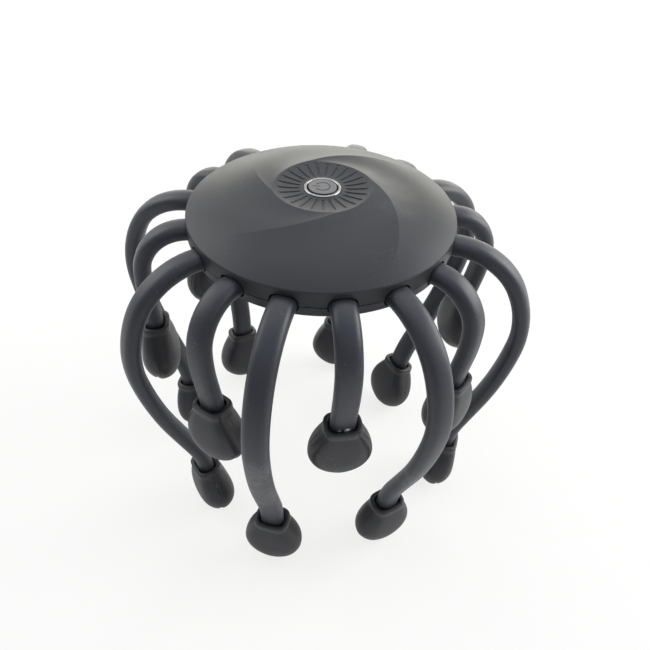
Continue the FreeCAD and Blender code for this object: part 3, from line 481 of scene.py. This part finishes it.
def cut_foot_lines(piece, sizes):
    """The groove across the sole of an open foot, and the mould lines on its narrow sides."""
    sole = -sizes.height * SOLE_SHARE
    for aside in SOLE_EDGES:
        slice_at(piece, (sizes.seam + aside, 0, 0), (1, 0, 0),
                 lambda f: f.calc_center_median().z < sole)
    select(piece, "VERT", lambda v: abs(v.co.x - sizes.seam) < SOLE_FLOOR and v.co.z < sole)
    bpy.ops.transform.translate(value=(0, 0, sizes.groove))
    low, high = -sizes.height * LINE_SHARE, -2 * sizes.mouth
    for aside in LINE_EDGES:
        slice_at(piece, (aside, 0, 0), (1, 0, 0),
                 lambda f: low < f.calc_center_median().z < high and abs(f.normal.y) > SIDEWAYS)
    select(piece, "VERT", lambda v: abs(v.co.x) < TINY and low < v.co.z < high
           and abs(v.normal.y) > SIDEWAYS)
    bpy.ops.transform.shrink_fatten(value=-sizes.line)


def open_collar(piece, sizes, leg):
    """The mouth of an open foot's collar, its pocket for the leg and its rounded edges."""
    select(piece, "FACE", lambda f: f.normal.z > FLAT and abs(f.calc_center_median().z) < TINY)
    bpy.ops.mesh.dissolve_faces()
    bpy.ops.mesh.inset(thickness=sizes.lip)
    pull(z=-sizes.mouth)
    pull()
    mouth = [v.co.copy() for v in bmesh.from_edit_mesh(piece.data).verts if v.select]
    reach = max(p.x for p in mouth), max(p.y for p in mouth)
    stretch((leg.depth / 2 + sizes.room) / reach[0], (leg.width / 2 + sizes.room) / reach[1], 1,
            (0, 0, -sizes.mouth))
    pull(z=sizes.mouth - sizes.pocket)
    select(piece, "EDGE", lambda e: all(abs(v.co.z) < TINY for v in e.verts)
           and e.calc_face_angle(0) > math.radians(COLLAR_SHARP))
    round_off("EDGES", sizes.edge, COLLAR_STEPS)


# Shader nodes


def feed(tree, socket, given):
    """Link a socket to another one, or set its value."""
    if isinstance(given, bpy.types.NodeSocket):
        tree.links.new(given, socket)
    else:
        socket.default_value = given


def add_node(tree, kind, inputs=None, **settings):
    """A shader node with its settings, its inputs linked or set."""
    made = tree.nodes.new(kind)
    for key, setting in settings.items():
        setattr(made, key, setting)
    for key, given in (inputs or {}).items():
        feed(tree, made.inputs[key], given)
    return made


def calc(tree, operation, *values, clamp=False):
    """The result of a math node."""
    made = add_node(tree, "ShaderNodeMath", dict(enumerate(values)), operation=operation)
    made.use_clamp = clamp
    return made.outputs[0]


def ramp(tree, value, low, high, to_low=0.0, to_high=1.0):
    """A value carried smoothly from one range to another."""
    made = add_node(tree, "ShaderNodeMapRange", {0: value, 1: low, 2: high, 3: to_low, 4: to_high},
                    interpolation_type="SMOOTHSTEP")
    return made.outputs[0]


def within(tree, value, limit, blur):
    """A share that falls from 1 to 0 where a value passes a limit."""
    return ramp(tree, value, limit - blur, limit + blur, to_low=1.0, to_high=0.0)


def beyond(tree, value, limit, blur):
    """A share that rises from 0 to 1 where a value passes a limit."""
    return ramp(tree, value, limit - blur, limit + blur)


def halfway(tree, part):
    """A share that is 1 where another one is a half, and 0 where that is 0 or 1."""
    return calc(tree, "MULTIPLY", part, calc(tree, "MULTIPLY_ADD", part, -4.0, 4.0))


def mixed(tree, part, first, second):
    """Two colours mixed by a share."""
    made = add_node(tree, "ShaderNodeMix", data_type="RGBA", blend_type="MIX")
    for socket, given in zip((made.inputs[0], made.inputs[6], made.inputs[7]), (part, first, second)):
        feed(tree, socket, given)
    return made.outputs[2]


def noise(tree, where, scale, detail=2.0, roughness=0.5):
    """The value of a noise texture."""
    made = add_node(tree, "ShaderNodeTexNoise", {
        "Vector": where, "Scale": scale, "Detail": detail, "Roughness": roughness})
    return made.outputs[0]


def swing(tree, cloud, spread, middle):
    """A noise carried to a spread about a middle value."""
    return calc(tree, "MULTIPLY_ADD", calc(tree, "SUBTRACT", cloud, 0.5), spread, middle)


def object_place(tree):
    """Object coordinates."""
    return add_node(tree, "ShaderNodeTexCoord").outputs["Object"]


def from_axis(tree):
    """The part's x, y and z, and the distance from the hub's axis."""
    spot = add_node(tree, "ShaderNodeSeparateXYZ", {0: object_place(tree)}).outputs
    square = calc(tree, "MULTIPLY_ADD", spot[0], spot[0], calc(tree, "MULTIPLY", spot[1], spot[1]))
    return spot, calc(tree, "SQRT", square)


def opaque(shade):
    """A colour with full alpha."""
    return (*shade, 1.0)


# Shared node groups


def new_group(name, inputs, outputs):
    """An empty shader node group with named sockets, its input and its output sockets."""
    tree = bpy.data.node_groups.new(name, "ShaderNodeTree")
    for label, kind, value in inputs:
        socket = tree.interface.new_socket(label, in_out="INPUT", socket_type=f"NodeSocket{kind}")
        socket.default_value = value
    for label, kind in outputs:
        tree.interface.new_socket(label, in_out="OUTPUT", socket_type=f"NodeSocket{kind}")
    return tree, tree.nodes.new("NodeGroupInput").outputs, tree.nodes.new("NodeGroupOutput").inputs


def make_tone_group():
    """Cloudy tone: a colour that wanders a little over the surface."""
    tree, given, result = new_group(
        "Cloudy tone",
        (("Colour", "Color", (0.5, 0.5, 0.5, 1)), ("Spread", "Float", 0.2), ("Scale", "Float", 60.0)),
        (("Colour", "Color"),))
    cloud = noise(tree, object_place(tree), given["Scale"], detail=4.0, roughness=0.6)
    scaled = add_node(tree, "ShaderNodeVectorMath", {0: given["Colour"]}, operation="SCALE")
    tree.links.new(swing(tree, cloud, given["Spread"], 1.0), scaled.inputs["Scale"])
    tree.links.new(scaled.outputs[0], result["Colour"])
    return tree


def make_grain_group():
    """Moulded grain: the fine texture of a matte mould, as a height and a roughness."""
    tree, given, result = new_group(
        "Moulded grain",
        (("Scale", "Float", 2500.0), ("Roughness", "Float", 0.45), ("Spread", "Float", 0.1)),
        (("Height", "Float"), ("Roughness", "Float")))
    where = object_place(tree)
    broad_scale = calc(tree, "MULTIPLY", given["Scale"], 0.03)
    fine = noise(tree, where, given["Scale"], detail=2.0, roughness=0.6)
    broad = noise(tree, where, broad_scale, detail=3.0, roughness=0.55)
    tree.links.new(fine, result["Height"])
    tree.links.new(swing(tree, broad, given["Spread"], given["Roughness"]), result["Roughness"])
    return tree


def make_dust_group():
    """Dust: pale specks in patches, thicker on what faces up."""
    tree, given, result = new_group(
        "Dust", (("Scale", "Float", 900.0), ("Cover", "Float", 0.3)), (("Mask", "Float"),))
    where = object_place(tree)
    patch_scale = calc(tree, "MULTIPLY", given["Scale"], 0.06)
    normal = add_node(tree, "ShaderNodeNewGeometry").outputs["Normal"]
    facing = add_node(tree, "ShaderNodeSeparateXYZ", {0: normal}).outputs["Z"]
    upward = ramp(tree, facing, -0.3, 0.9, to_low=0.35)
    specks = ramp(tree, noise(tree, where, given["Scale"], detail=1.0, roughness=0.4), 0.70, 0.80)
    patches = ramp(tree, noise(tree, where, patch_scale), 0.42, 0.68, to_low=0.05)
    spread = calc(tree, "MULTIPLY", specks, patches)
    mask = calc(tree, "MULTIPLY", calc(tree, "MULTIPLY", spread, upward), given["Cover"], clamp=True)
    tree.links.new(mask, result["Mask"])
    return tree


def make_scuff_group():
    """Scuffs: thin broken scratches in patches."""
    tree, given, result = new_group(
        "Scuffs", (("Scale", "Float", 260.0), ("Cover", "Float", 0.3), ("Patch", "Float", 0.58)),
        (("Mask", "Float"),))
    where = object_place(tree)
    sway = (6 * MM,) * 3
    warp = add_node(tree, "ShaderNodeTexNoise", {"Vector": where, "Scale": 90.0, "Detail": 2.0})
    bent = add_node(tree, "ShaderNodeVectorMath", {0: warp.outputs["Color"], 1: sway, 2: where},
                    operation="MULTIPLY_ADD")
    lines = add_node(tree, "ShaderNodeTexVoronoi", {"Vector": bent.outputs[0], "Scale": given["Scale"]},
                     feature="DISTANCE_TO_EDGE")
    thin = ramp(tree, lines.outputs["Distance"], 0.0, 0.05, to_low=1.0, to_high=0.0)
    broken = ramp(tree, noise(tree, where, 700.0, roughness=0.6), 0.48, 0.62)
    patches = ramp(tree, noise(tree, where, 34.0), given["Patch"],
                   calc(tree, "ADD", given["Patch"], 0.14))
    mask = calc(tree, "MULTIPLY", calc(tree, "MULTIPLY", thin, broken),
                calc(tree, "MULTIPLY", patches, given["Cover"]), clamp=True)
    tree.links.new(mask, result["Mask"])
    return tree


def make_spot_group():
    """Near a spot: a share that is 1 round a point and falls to 0 at its reach."""
    tree, given, result = new_group(
        "Near a spot", (("Spot", "Vector", (0.0, 0.0, 0.0)), ("Reach", "Float", 0.01)),
        (("Mask", "Float"),))
    away = add_node(tree, "ShaderNodeVectorMath", {0: object_place(tree), 1: given["Spot"]},
                    operation="DISTANCE").outputs["Value"]
    part = calc(tree, "DIVIDE", away, given["Reach"])
    tree.links.new(ramp(tree, part, 0.3, 1.0, to_low=1.0, to_high=0.0), result["Mask"])
    return tree


GROUP_MAKERS = {
    "Near a spot": make_spot_group,
    "Cloudy tone": make_tone_group,
    "Moulded grain": make_grain_group,
    "Dust": make_dust_group,
    "Scuffs": make_scuff_group,
}


def use_group(tree, name, **values):
    """Place a shared node group in a material, with its own values."""
    shared = bpy.data.node_groups.get(name) or GROUP_MAKERS[name]()
    placed = tree.nodes.new("ShaderNodeGroup")
    placed.node_tree = shared
    for label, given in values.items():
        feed(tree, placed.inputs[label.capitalize()], given)
    return placed.outputs


# Materials


def new_material(name, **values):
    """A material with a Principled shader, its plain values on the shader's sockets."""
    made = bpy.data.materials.new(name)
    made.use_nodes = True
    shader = made.node_tree.nodes["Principled BSDF"]
    for label, value in values.items():
        shader.inputs[label.replace("_", " ")].default_value = value
    return made, made.node_tree, shader.inputs


def add_bump(tree, shader, height, depth):
    """Raise the surface by a height, for the shader's normal."""
    bump = add_node(tree, "ShaderNodeBump", {"Height": height, "Distance": depth, "Strength": 1.0})
    tree.links.new(bump.outputs[0], shader["Normal"])


def moulded_material(name, shade, tone=0.25, rough=0.45, rough_spread=0.1, grain=2500.0,
                     depth=0.012 * MM, dust=0.0, scuffs=0.0, extra=None, **values):
    """A moulded plastic or rubber: cloudy tone, marks of its own, dust, scuffs and grain."""
    made, tree, shader = new_material(name, **values)
    looks = use_group(tree, "Cloudy tone", colour=opaque(shade), spread=tone)["Colour"]
    if extra:
        looks = extra(tree, looks)
    dust_colour = opaque(bpy.context.scene.massager_finish.dust)
    if dust:
        looks = mixed(tree, use_group(tree, "Dust", cover=dust)["Mask"], looks, dust_colour)
    if scuffs:
        looks = mixed(tree, use_group(tree, "Scuffs", cover=scuffs)["Mask"], looks, dust_colour)
    texture = use_group(tree, "Moulded grain", scale=grain, roughness=rough, spread=rough_spread)
    tree.links.new(looks, shader["Base Color"])
    tree.links.new(texture["Roughness"], shader["Roughness"])
    add_bump(tree, shader, texture["Height"], depth)
    return made


def metal_material(name, shade, rough, grain=1800.0, rough_spread=0.12, depth=0.003 * MM):
    """Plain metal with a finely uneven surface."""
    made, tree, shader = new_material(name, Metallic=1.0)
    tone = use_group(tree, "Cloudy tone", colour=opaque(shade), spread=0.15, scale=300.0)
    texture = use_group(tree, "Moulded grain", scale=grain, roughness=rough, spread=rough_spread)
    tree.links.new(tone["Colour"], shader["Base Color"])
    tree.links.new(texture["Roughness"], shader["Roughness"])
    add_bump(tree, shader, texture["Height"], depth)
    return made


def mark_spot(tree, looks, spot, reach, strength, shade):
    """Lay a colour over the looks near a spot, as strong as a share says."""
    near = use_group(tree, "Near a spot", spot=spot, reach=reach)["Mask"]
    return mixed(tree, calc(tree, "MULTIPLY", near, strength), looks, opaque(shade))


def leg_marks(tree, looks):
    """White specks of glue in some collars, and worn parts of the two front long legs."""
    finish = bpy.context.scene.massager_finish
    where = object_place(tree)
    crumbs = ramp(tree, noise(tree, where, 1500.0, detail=1.0), 0.44, 0.5)
    half = bpy.context.scene.massager_legs.depth / 2
    for number, aside, reach in GLUE_SPOTS:
        spot = foot_frame(number) @ Vector((half, aside, GLUE_RISE))
        looks = mark_spot(tree, looks, spot, reach, crumbs, finish.glue)
    scratches = use_group(tree, "Scuffs", scale=250.0, cover=0.7, patch=0.3)["Mask"]
    haze = ramp(tree, noise(tree, where, 130.0, detail=4.0, roughness=0.65), 0.42, 0.66, to_high=0.2)
    worn = calc(tree, "MAXIMUM", scratches, haze)
    for number, rise, out, reach in SCUFF_SPOTS:
        spot = foot_frame(number) @ Vector((out, 0, rise))
        looks = mark_spot(tree, looks, spot, reach, worn, finish.worn)
    return looks


def groove_masks(tree):
    """Two shares: 1 where painted shade darkens the bottoms of the grooves round the button, and 1
    where painted light brightens their sides and their ends."""
    spot, away = from_axis(tree)
    step = 2 * math.pi / GROOVES["count"]
    turn = calc(tree, "DIVIDE", calc(tree, "ARCTAN2", spot[1], spot[0]), step)
    rest = calc(tree, "SUBTRACT", turn, calc(tree, "ROUND", turn))
    aside = calc(tree, "MULTIPLY", calc(tree, "ABSOLUTE", rest), calc(tree, "MULTIPLY", away, step))
    inner = GROOVES["start"]
    outer = inner + GROOVES["length"]
    blur = GROOVES["blur"]
    across = within(tree, aside, GROOVES["width"] / 2, blur)
    along = calc(tree, "MULTIPLY", beyond(tree, away, inner, blur), within(tree, away, outer, blur))
    # Painted light at both ends of each groove, lifting the shadows that the end walls cast.
    ends = calc(tree, "MAXIMUM",
                ramp(tree, away, inner, inner + GROOVES["end"], to_low=1.0, to_high=0.0),
                ramp(tree, away, outer - GROOVES["end"], outer))
    wall_light = calc(tree, "MAXIMUM", halfway(tree, across), calc(tree, "MULTIPLY", ends, across))
    return calc(tree, "MULTIPLY", across, along), calc(tree, "MULTIPLY", wall_light, along)


def cover_marks(tree, looks):
    """Dull grooves with painted shade on their bottoms and painted light on their sides and ends, a
    faint smear beside one crease that partly paints a pale reflection there, and a small pit at the
    edge of the dish, its shade painted near-black."""
    finish = bpy.context.scene.massager_finish
    floor_shade, wall_light = groove_masks(tree)
    # Painted shade on the groove floors, and painted light on their walls and ends.
    looks = mixed(tree, floor_shade, looks, opaque(finish.groove))
    looks = mixed(tree, wall_light, looks, opaque(finish.groove_wall_light))
    cloud = ramp(tree, noise(tree, object_place(tree), 70.0), 0.3, 0.7, to_low=0.01, to_high=0.07)
    # These smears are partly a painted pale reflection beside one crease.
    for spot, reach in SMEAR_AND_SHEEN_SPOTS:
        looks = mark_spot(tree, looks, spot, reach, cloud, finish.dust)
    # The pit is painted near-black as its shade.
    return mark_spot(tree, looks, PIT_SPOT, PIT_REACH, 1.0, finish.pit)


def button_marks(tree, looks):
    """The dark engraved lines of the power symbol, and painted shade that darkens the side of the
    button.
    """
    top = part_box("power_button")[1].z
    spot, away = from_axis(tree)
    inside = within(tree, away, SYMBOL_REACH, BUTTON_BLUR)
    below = within(tree, spot[2], top - SYMBOL_DEPTH, SYMBOL_BLUR)
    # Painted shade on the side of the button, in the gap round it.
    side = beyond(tree, away, BUTTON_SIDE, BUTTON_BLUR)
    dark = calc(tree, "MAXIMUM", calc(tree, "MULTIPLY", inside, below), side)
    return mixed(tree, dark, looks, opaque(bpy.context.scene.massager_finish.symbol))


def dress(piece, material):
    """Give a piece one material."""
    piece.data.materials.clear()
    piece.data.materials.append(material)


# Stage


def set_floor(stage):
    """A wide pale floor, white where it is seen and with the object's shadow on it."""
    floor = begin("floor", bpy.ops.mesh.primitive_plane_add, size=FLOOR_SIZE)
    bpy.ops.mesh.subdivide(number_cuts=1)
    bpy.ops.object.mode_set(mode="OBJECT")
    made, tree, shader = new_material("pale_floor", Roughness=0.9, Specular_IOR_Level=0.0)
    tone = use_group(tree, "Cloudy tone", colour=opaque(stage.floor), spread=0.02, scale=4.0)
    tree.links.new(tone["Colour"], shader["Base Color"])
    glow = add_node(tree, "ShaderNodeEmission", {"Color": FLOOR_GLOW, "Strength": 1.0})
    path = add_node(tree, "ShaderNodeLightPath").outputs
    shiny = calc(tree, "MULTIPLY", path["Is Glossy Ray"], FLOOR_MIRRORED)
    part = calc(tree, "MULTIPLY_ADD", path["Is Camera Ray"], FLOOR_SEEN, shiny)
    both = add_node(tree, "ShaderNodeMixShader", {
        0: part, 1: tree.nodes["Principled BSDF"].outputs[0], 2: glow.outputs[0]})
    tree.links.new(both.outputs[0], tree.nodes["Material Output"].inputs["Surface"])
    dress(floor, made)


def set_surround(scene):
    """A white surround, which lights the object cooler from overhead and less from the front left."""
    world = bpy.data.worlds.new("white_surround")
    world.use_nodes = True
    tree = world.node_tree
    tree.nodes.clear()
    toward = add_node(tree, "ShaderNodeTexCoord").outputs["Generated"]
    height = add_node(tree, "ShaderNodeSeparateXYZ", {0: toward}).outputs["Z"]
    behind = add_node(tree, "ShaderNodeVectorMath", {0: toward, 1: ROOM_SIDE},
                      operation="DOT_PRODUCT").outputs["Value"]
    room = mixed(tree, ramp(tree, behind, *ROOM_FRONT_RANGE), ROOM_FRONT, WHITE)
    shade = mixed(tree, ramp(tree, height, *ROOM_ABOVE_RANGE), room, ROOM_ABOVE)
    path = add_node(tree, "ShaderNodeLightPath").outputs
    shiny = calc(tree, "MAXIMUM", path["Is Glossy Ray"], path["Is Transmission Ray"])
    level = ramp(tree, shiny, 0.0, 1.0, to_low=ROOM_LIGHT, to_high=ROOM_MIRRORED)
    lit = add_node(tree, "ShaderNodeBackground", {"Color": shade, "Strength": level})
    plain = add_node(tree, "ShaderNodeBackground", {"Color": WHITE, "Strength": 1.0})
    both = add_node(tree, "ShaderNodeMixShader", {
        0: path["Is Camera Ray"], 1: lit.outputs[0], 2: plain.outputs[0]})
    tree.links.new(both.outputs[0], add_node(tree, "ShaderNodeOutputWorld").inputs["Surface"])
    scene.world = world


def set_lights():
    """Soft panels behind, on both sides and overhead."""
    for name, (spot, width, height, power, shade) in PANELS.items():
        bpy.ops.object.light_add(type="AREA", location=spot)
        lamp = bpy.context.object
        lamp.name = name
        lamp.data.shape = "RECTANGLE"
        lamp.data.size = width
        lamp.data.size_y = height
        lamp.data.energy = power
        lamp.data.color = shade
        lamp.visible_camera = False
        aim = Vector(PANEL_TARGET) - Vector(spot)
        lamp.rotation_euler = aim.to_track_quat("-Z", "Y").to_euler()


def set_camera(scene, stage):
    """The camera of the photograph."""
    ahead = Vector((-math.sin(stage.heading), math.cos(stage.heading), 0))
    sight = ahead * math.cos(stage.pitch) - Vector((0, 0, math.sin(stage.pitch)))
    level = Vector((ahead.y, -ahead.x, 0))
    upright = level.cross(sight)
    right = level * math.cos(stage.roll) + upright * math.sin(stage.roll)
    up = right.cross(sight)
    bpy.ops.object.camera_add()
    camera = bpy.context.object
    camera.name = "camera"
    turn = Matrix((right, up, -sight)).transposed().to_4x4()
    camera.matrix_world = Matrix.Translation(stage.camera) @ turn
    camera.data.lens = stage.lens
    camera.data.sensor_width = SENSOR_WIDTH
    camera.data.clip_start = CAMERA_NEAR
    scene.camera = camera


# Operators


class MASSAGER_OT_leg_sleeves(bpy.types.Operator):
    """Model the rubber sleeves of the long and short legs"""

    bl_idname = "massager.leg_sleeves"
    bl_label = "Leg Sleeves"

    def execute(self, context):
        finish = context.scene.massager_finish
        rubber = moulded_material(
            "soft_sleeve_rubber", finish.sleeve, tone=0.3, rough=0.43, grain=2200.0,
            dust=0.22, scuffs=0.12, extra=leg_marks, Sheen_Weight=0.06)
        masters = {kind: model_sleeve(kind, context.scene.massager_legs) for kind in LEG_RUNS}
        for number, name in leg_names():
            piece = copy_of(masters[leg_kind(number)], f"{name}_skin", leg_frame(number))
            dress(piece, rubber)
            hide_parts(f"{name}_sleeve")
            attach(piece, name)
        for master in masters.values():
            bpy.data.objects.remove(master)
        return {"FINISHED"}


class MASSAGER_OT_feet(bpy.types.Operator):
    """Model the rubber feet"""

    bl_idname = "massager.feet"
    bl_label = "Feet"

    def execute(self, context):
        finish = context.scene.massager_finish
        rubber = moulded_material(
            "foot_rubber", finish.foot, tone=0.3, rough=0.41, grain=1900.0, dust=0.12, scuffs=0.2)
        master = model_foot(context.scene.massager_feet, context.scene.massager_legs)
        for number, name in leg_names():
            piece = copy_of(master, f"{name}_hoof", foot_frame(number))
            dress(piece, rubber)
            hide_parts(f"{name}_foot")
            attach(piece, name)
        bpy.data.objects.remove(master)
        return {"FINISHED"}


class MASSAGER_OT_covers(bpy.types.Operator):
    """Finish the two covers of the hub"""

    bl_idname = "massager.covers"
    bl_label = "Covers"

    def execute(self, context):
        finish = context.scene.massager_finish
        plastic = moulded_material(
            "matte_cover_plastic", finish.cover, tone=0.15, rough=0.44, rough_spread=0.08,
            grain=2600.0, dust=0.12, scuffs=0.1, extra=cover_marks)
        tree = plastic.node_tree
        floor_shade, _ = groove_masks(tree)
        gloss = ramp(tree, floor_shade, 0.0, 1.0, to_low=0.42, to_high=0.36)
        tree.links.new(gloss, tree.nodes["Principled BSDF"].inputs["Specular IOR Level"])
        for name in ("top_cover", "bottom_cover"):
            dress(NODES[name], plastic)
        return {"FINISHED"}


class MASSAGER_OT_button(bpy.types.Operator):
    """Finish the power button and its ring"""

    bl_idname = "massager.button"
    bl_label = "Button and Ring"

    def execute(self, context):
        finish = context.scene.massager_finish
        dress(NODES["power_button"], moulded_material(
            "satin_button_plastic", finish.button, tone=0.1, rough=0.36, grain=3200.0,
            dust=0.15, extra=button_marks))
        dress(NODES["button_bezel"], metal_material("satin_ring_metal", finish.ring, rough=0.22))
        return {"FINISHED"}


class MASSAGER_OT_inside(bpy.types.Operator):
    """Finish the parts inside the hub and the legs"""

    bl_idname = "massager.inside"
    bl_label = "Inside"

    def execute(self, context):
        steel = metal_material("spring_steel", (0.50, 0.50, 0.51), rough=0.32)
        for _, name in leg_names():
            dress(NODES[f"{name}_core"], steel)
        looks = {
            "circuit_board": moulded_material(
                "board_laminate", (0.015, 0.075, 0.035), tone=0.3, rough=0.4, Coat_Weight=0.3),
            "switch_body": moulded_material("switch_plastic", (0.02, 0.02, 0.02), rough=0.5),
            "switch_plunger": moulded_material("plunger_plastic", (0.09, 0.09, 0.09), rough=0.4),
            "battery_pack": moulded_material("battery_wrap", (0.10, 0.16, 0.30), rough=0.35),
            "charge_socket": metal_material("socket_tin", (0.62, 0.62, 0.60), rough=0.28),
            "motor_leads": moulded_material("ribbon_lead", (0.16, 0.15, 0.14), rough=0.5),
            "cover_screws": metal_material("black_zinc", (0.10, 0.10, 0.11), rough=0.35),
            "board_screws": metal_material("bright_zinc", (0.58, 0.57, 0.55), rough=0.3),
        }
        for name, material in looks.items():
            dress(NODES[name], material)
        return {"FINISHED"}


class MASSAGER_OT_stage(bpy.types.Operator):
    """Set out the floor, the lights, the surround and the camera"""

    bl_idname = "massager.stage"
    bl_label = "Stage"

    def execute(self, context):
        stage = context.scene.massager_stage
        set_floor(stage)
        set_surround(context.scene)
        set_lights()
        set_camera(context.scene, stage)
        context.scene.view_settings.view_transform = "Standard"
        return {"FINISHED"}


class MASSAGER_PT_sidebar(bpy.types.Panel):
    """Lists the massager's pieces, its stage and their settings"""

    bl_idname = "MASSAGER_PT_sidebar"
    bl_label = "Head Massager"
    bl_space_type = "VIEW_3D"
    bl_region_type = "UI"
    bl_category = "Massager"

    def draw(self, context):
        for operator in OPERATORS:
            self.layout.operator(operator.bl_idname)
        for group in SETTINGS:
            box = self.layout.box()
            owner = getattr(context.scene, group)
            for label in owner.bl_rna.properties.keys():
                if label not in ("rna_type", "name"):
                    box.prop(owner, label)


OPERATORS = (
    MASSAGER_OT_leg_sleeves,
    MASSAGER_OT_feet,
    MASSAGER_OT_covers,
    MASSAGER_OT_button,
    MASSAGER_OT_inside,
    MASSAGER_OT_stage,
)
SETTINGS = {
    "massager_legs": LegSizes,
    "massager_feet": FootSizes,
    "massager_finish": Finish,
    "massager_stage": Stage,
}
CLASSES = (*SETTINGS.values(), *OPERATORS, MASSAGER_PT_sidebar)


def register():
    """Add the classes and the scene's settings."""
    for kind in CLASSES:
        bpy.utils.register_class(kind)
    for name, group in SETTINGS.items():
        setattr(bpy.types.Scene, name, PointerProperty(type=group))


def unregister():
    """Take away the scene's settings and the classes."""
    for name in SETTINGS:
        delattr(bpy.types.Scene, name)
    for kind in reversed(CLASSES):
        bpy.utils.unregister_class(kind)


def main():
    """Model the pieces in order."""
    register()
    bpy.ops.massager.leg_sleeves()
    bpy.ops.massager.feet()
    bpy.ops.massager.covers()
    bpy.ops.massager.button()
    bpy.ops.massager.inside()
    bpy.ops.massager.stage()


if __name__ == "__main__":
    main()
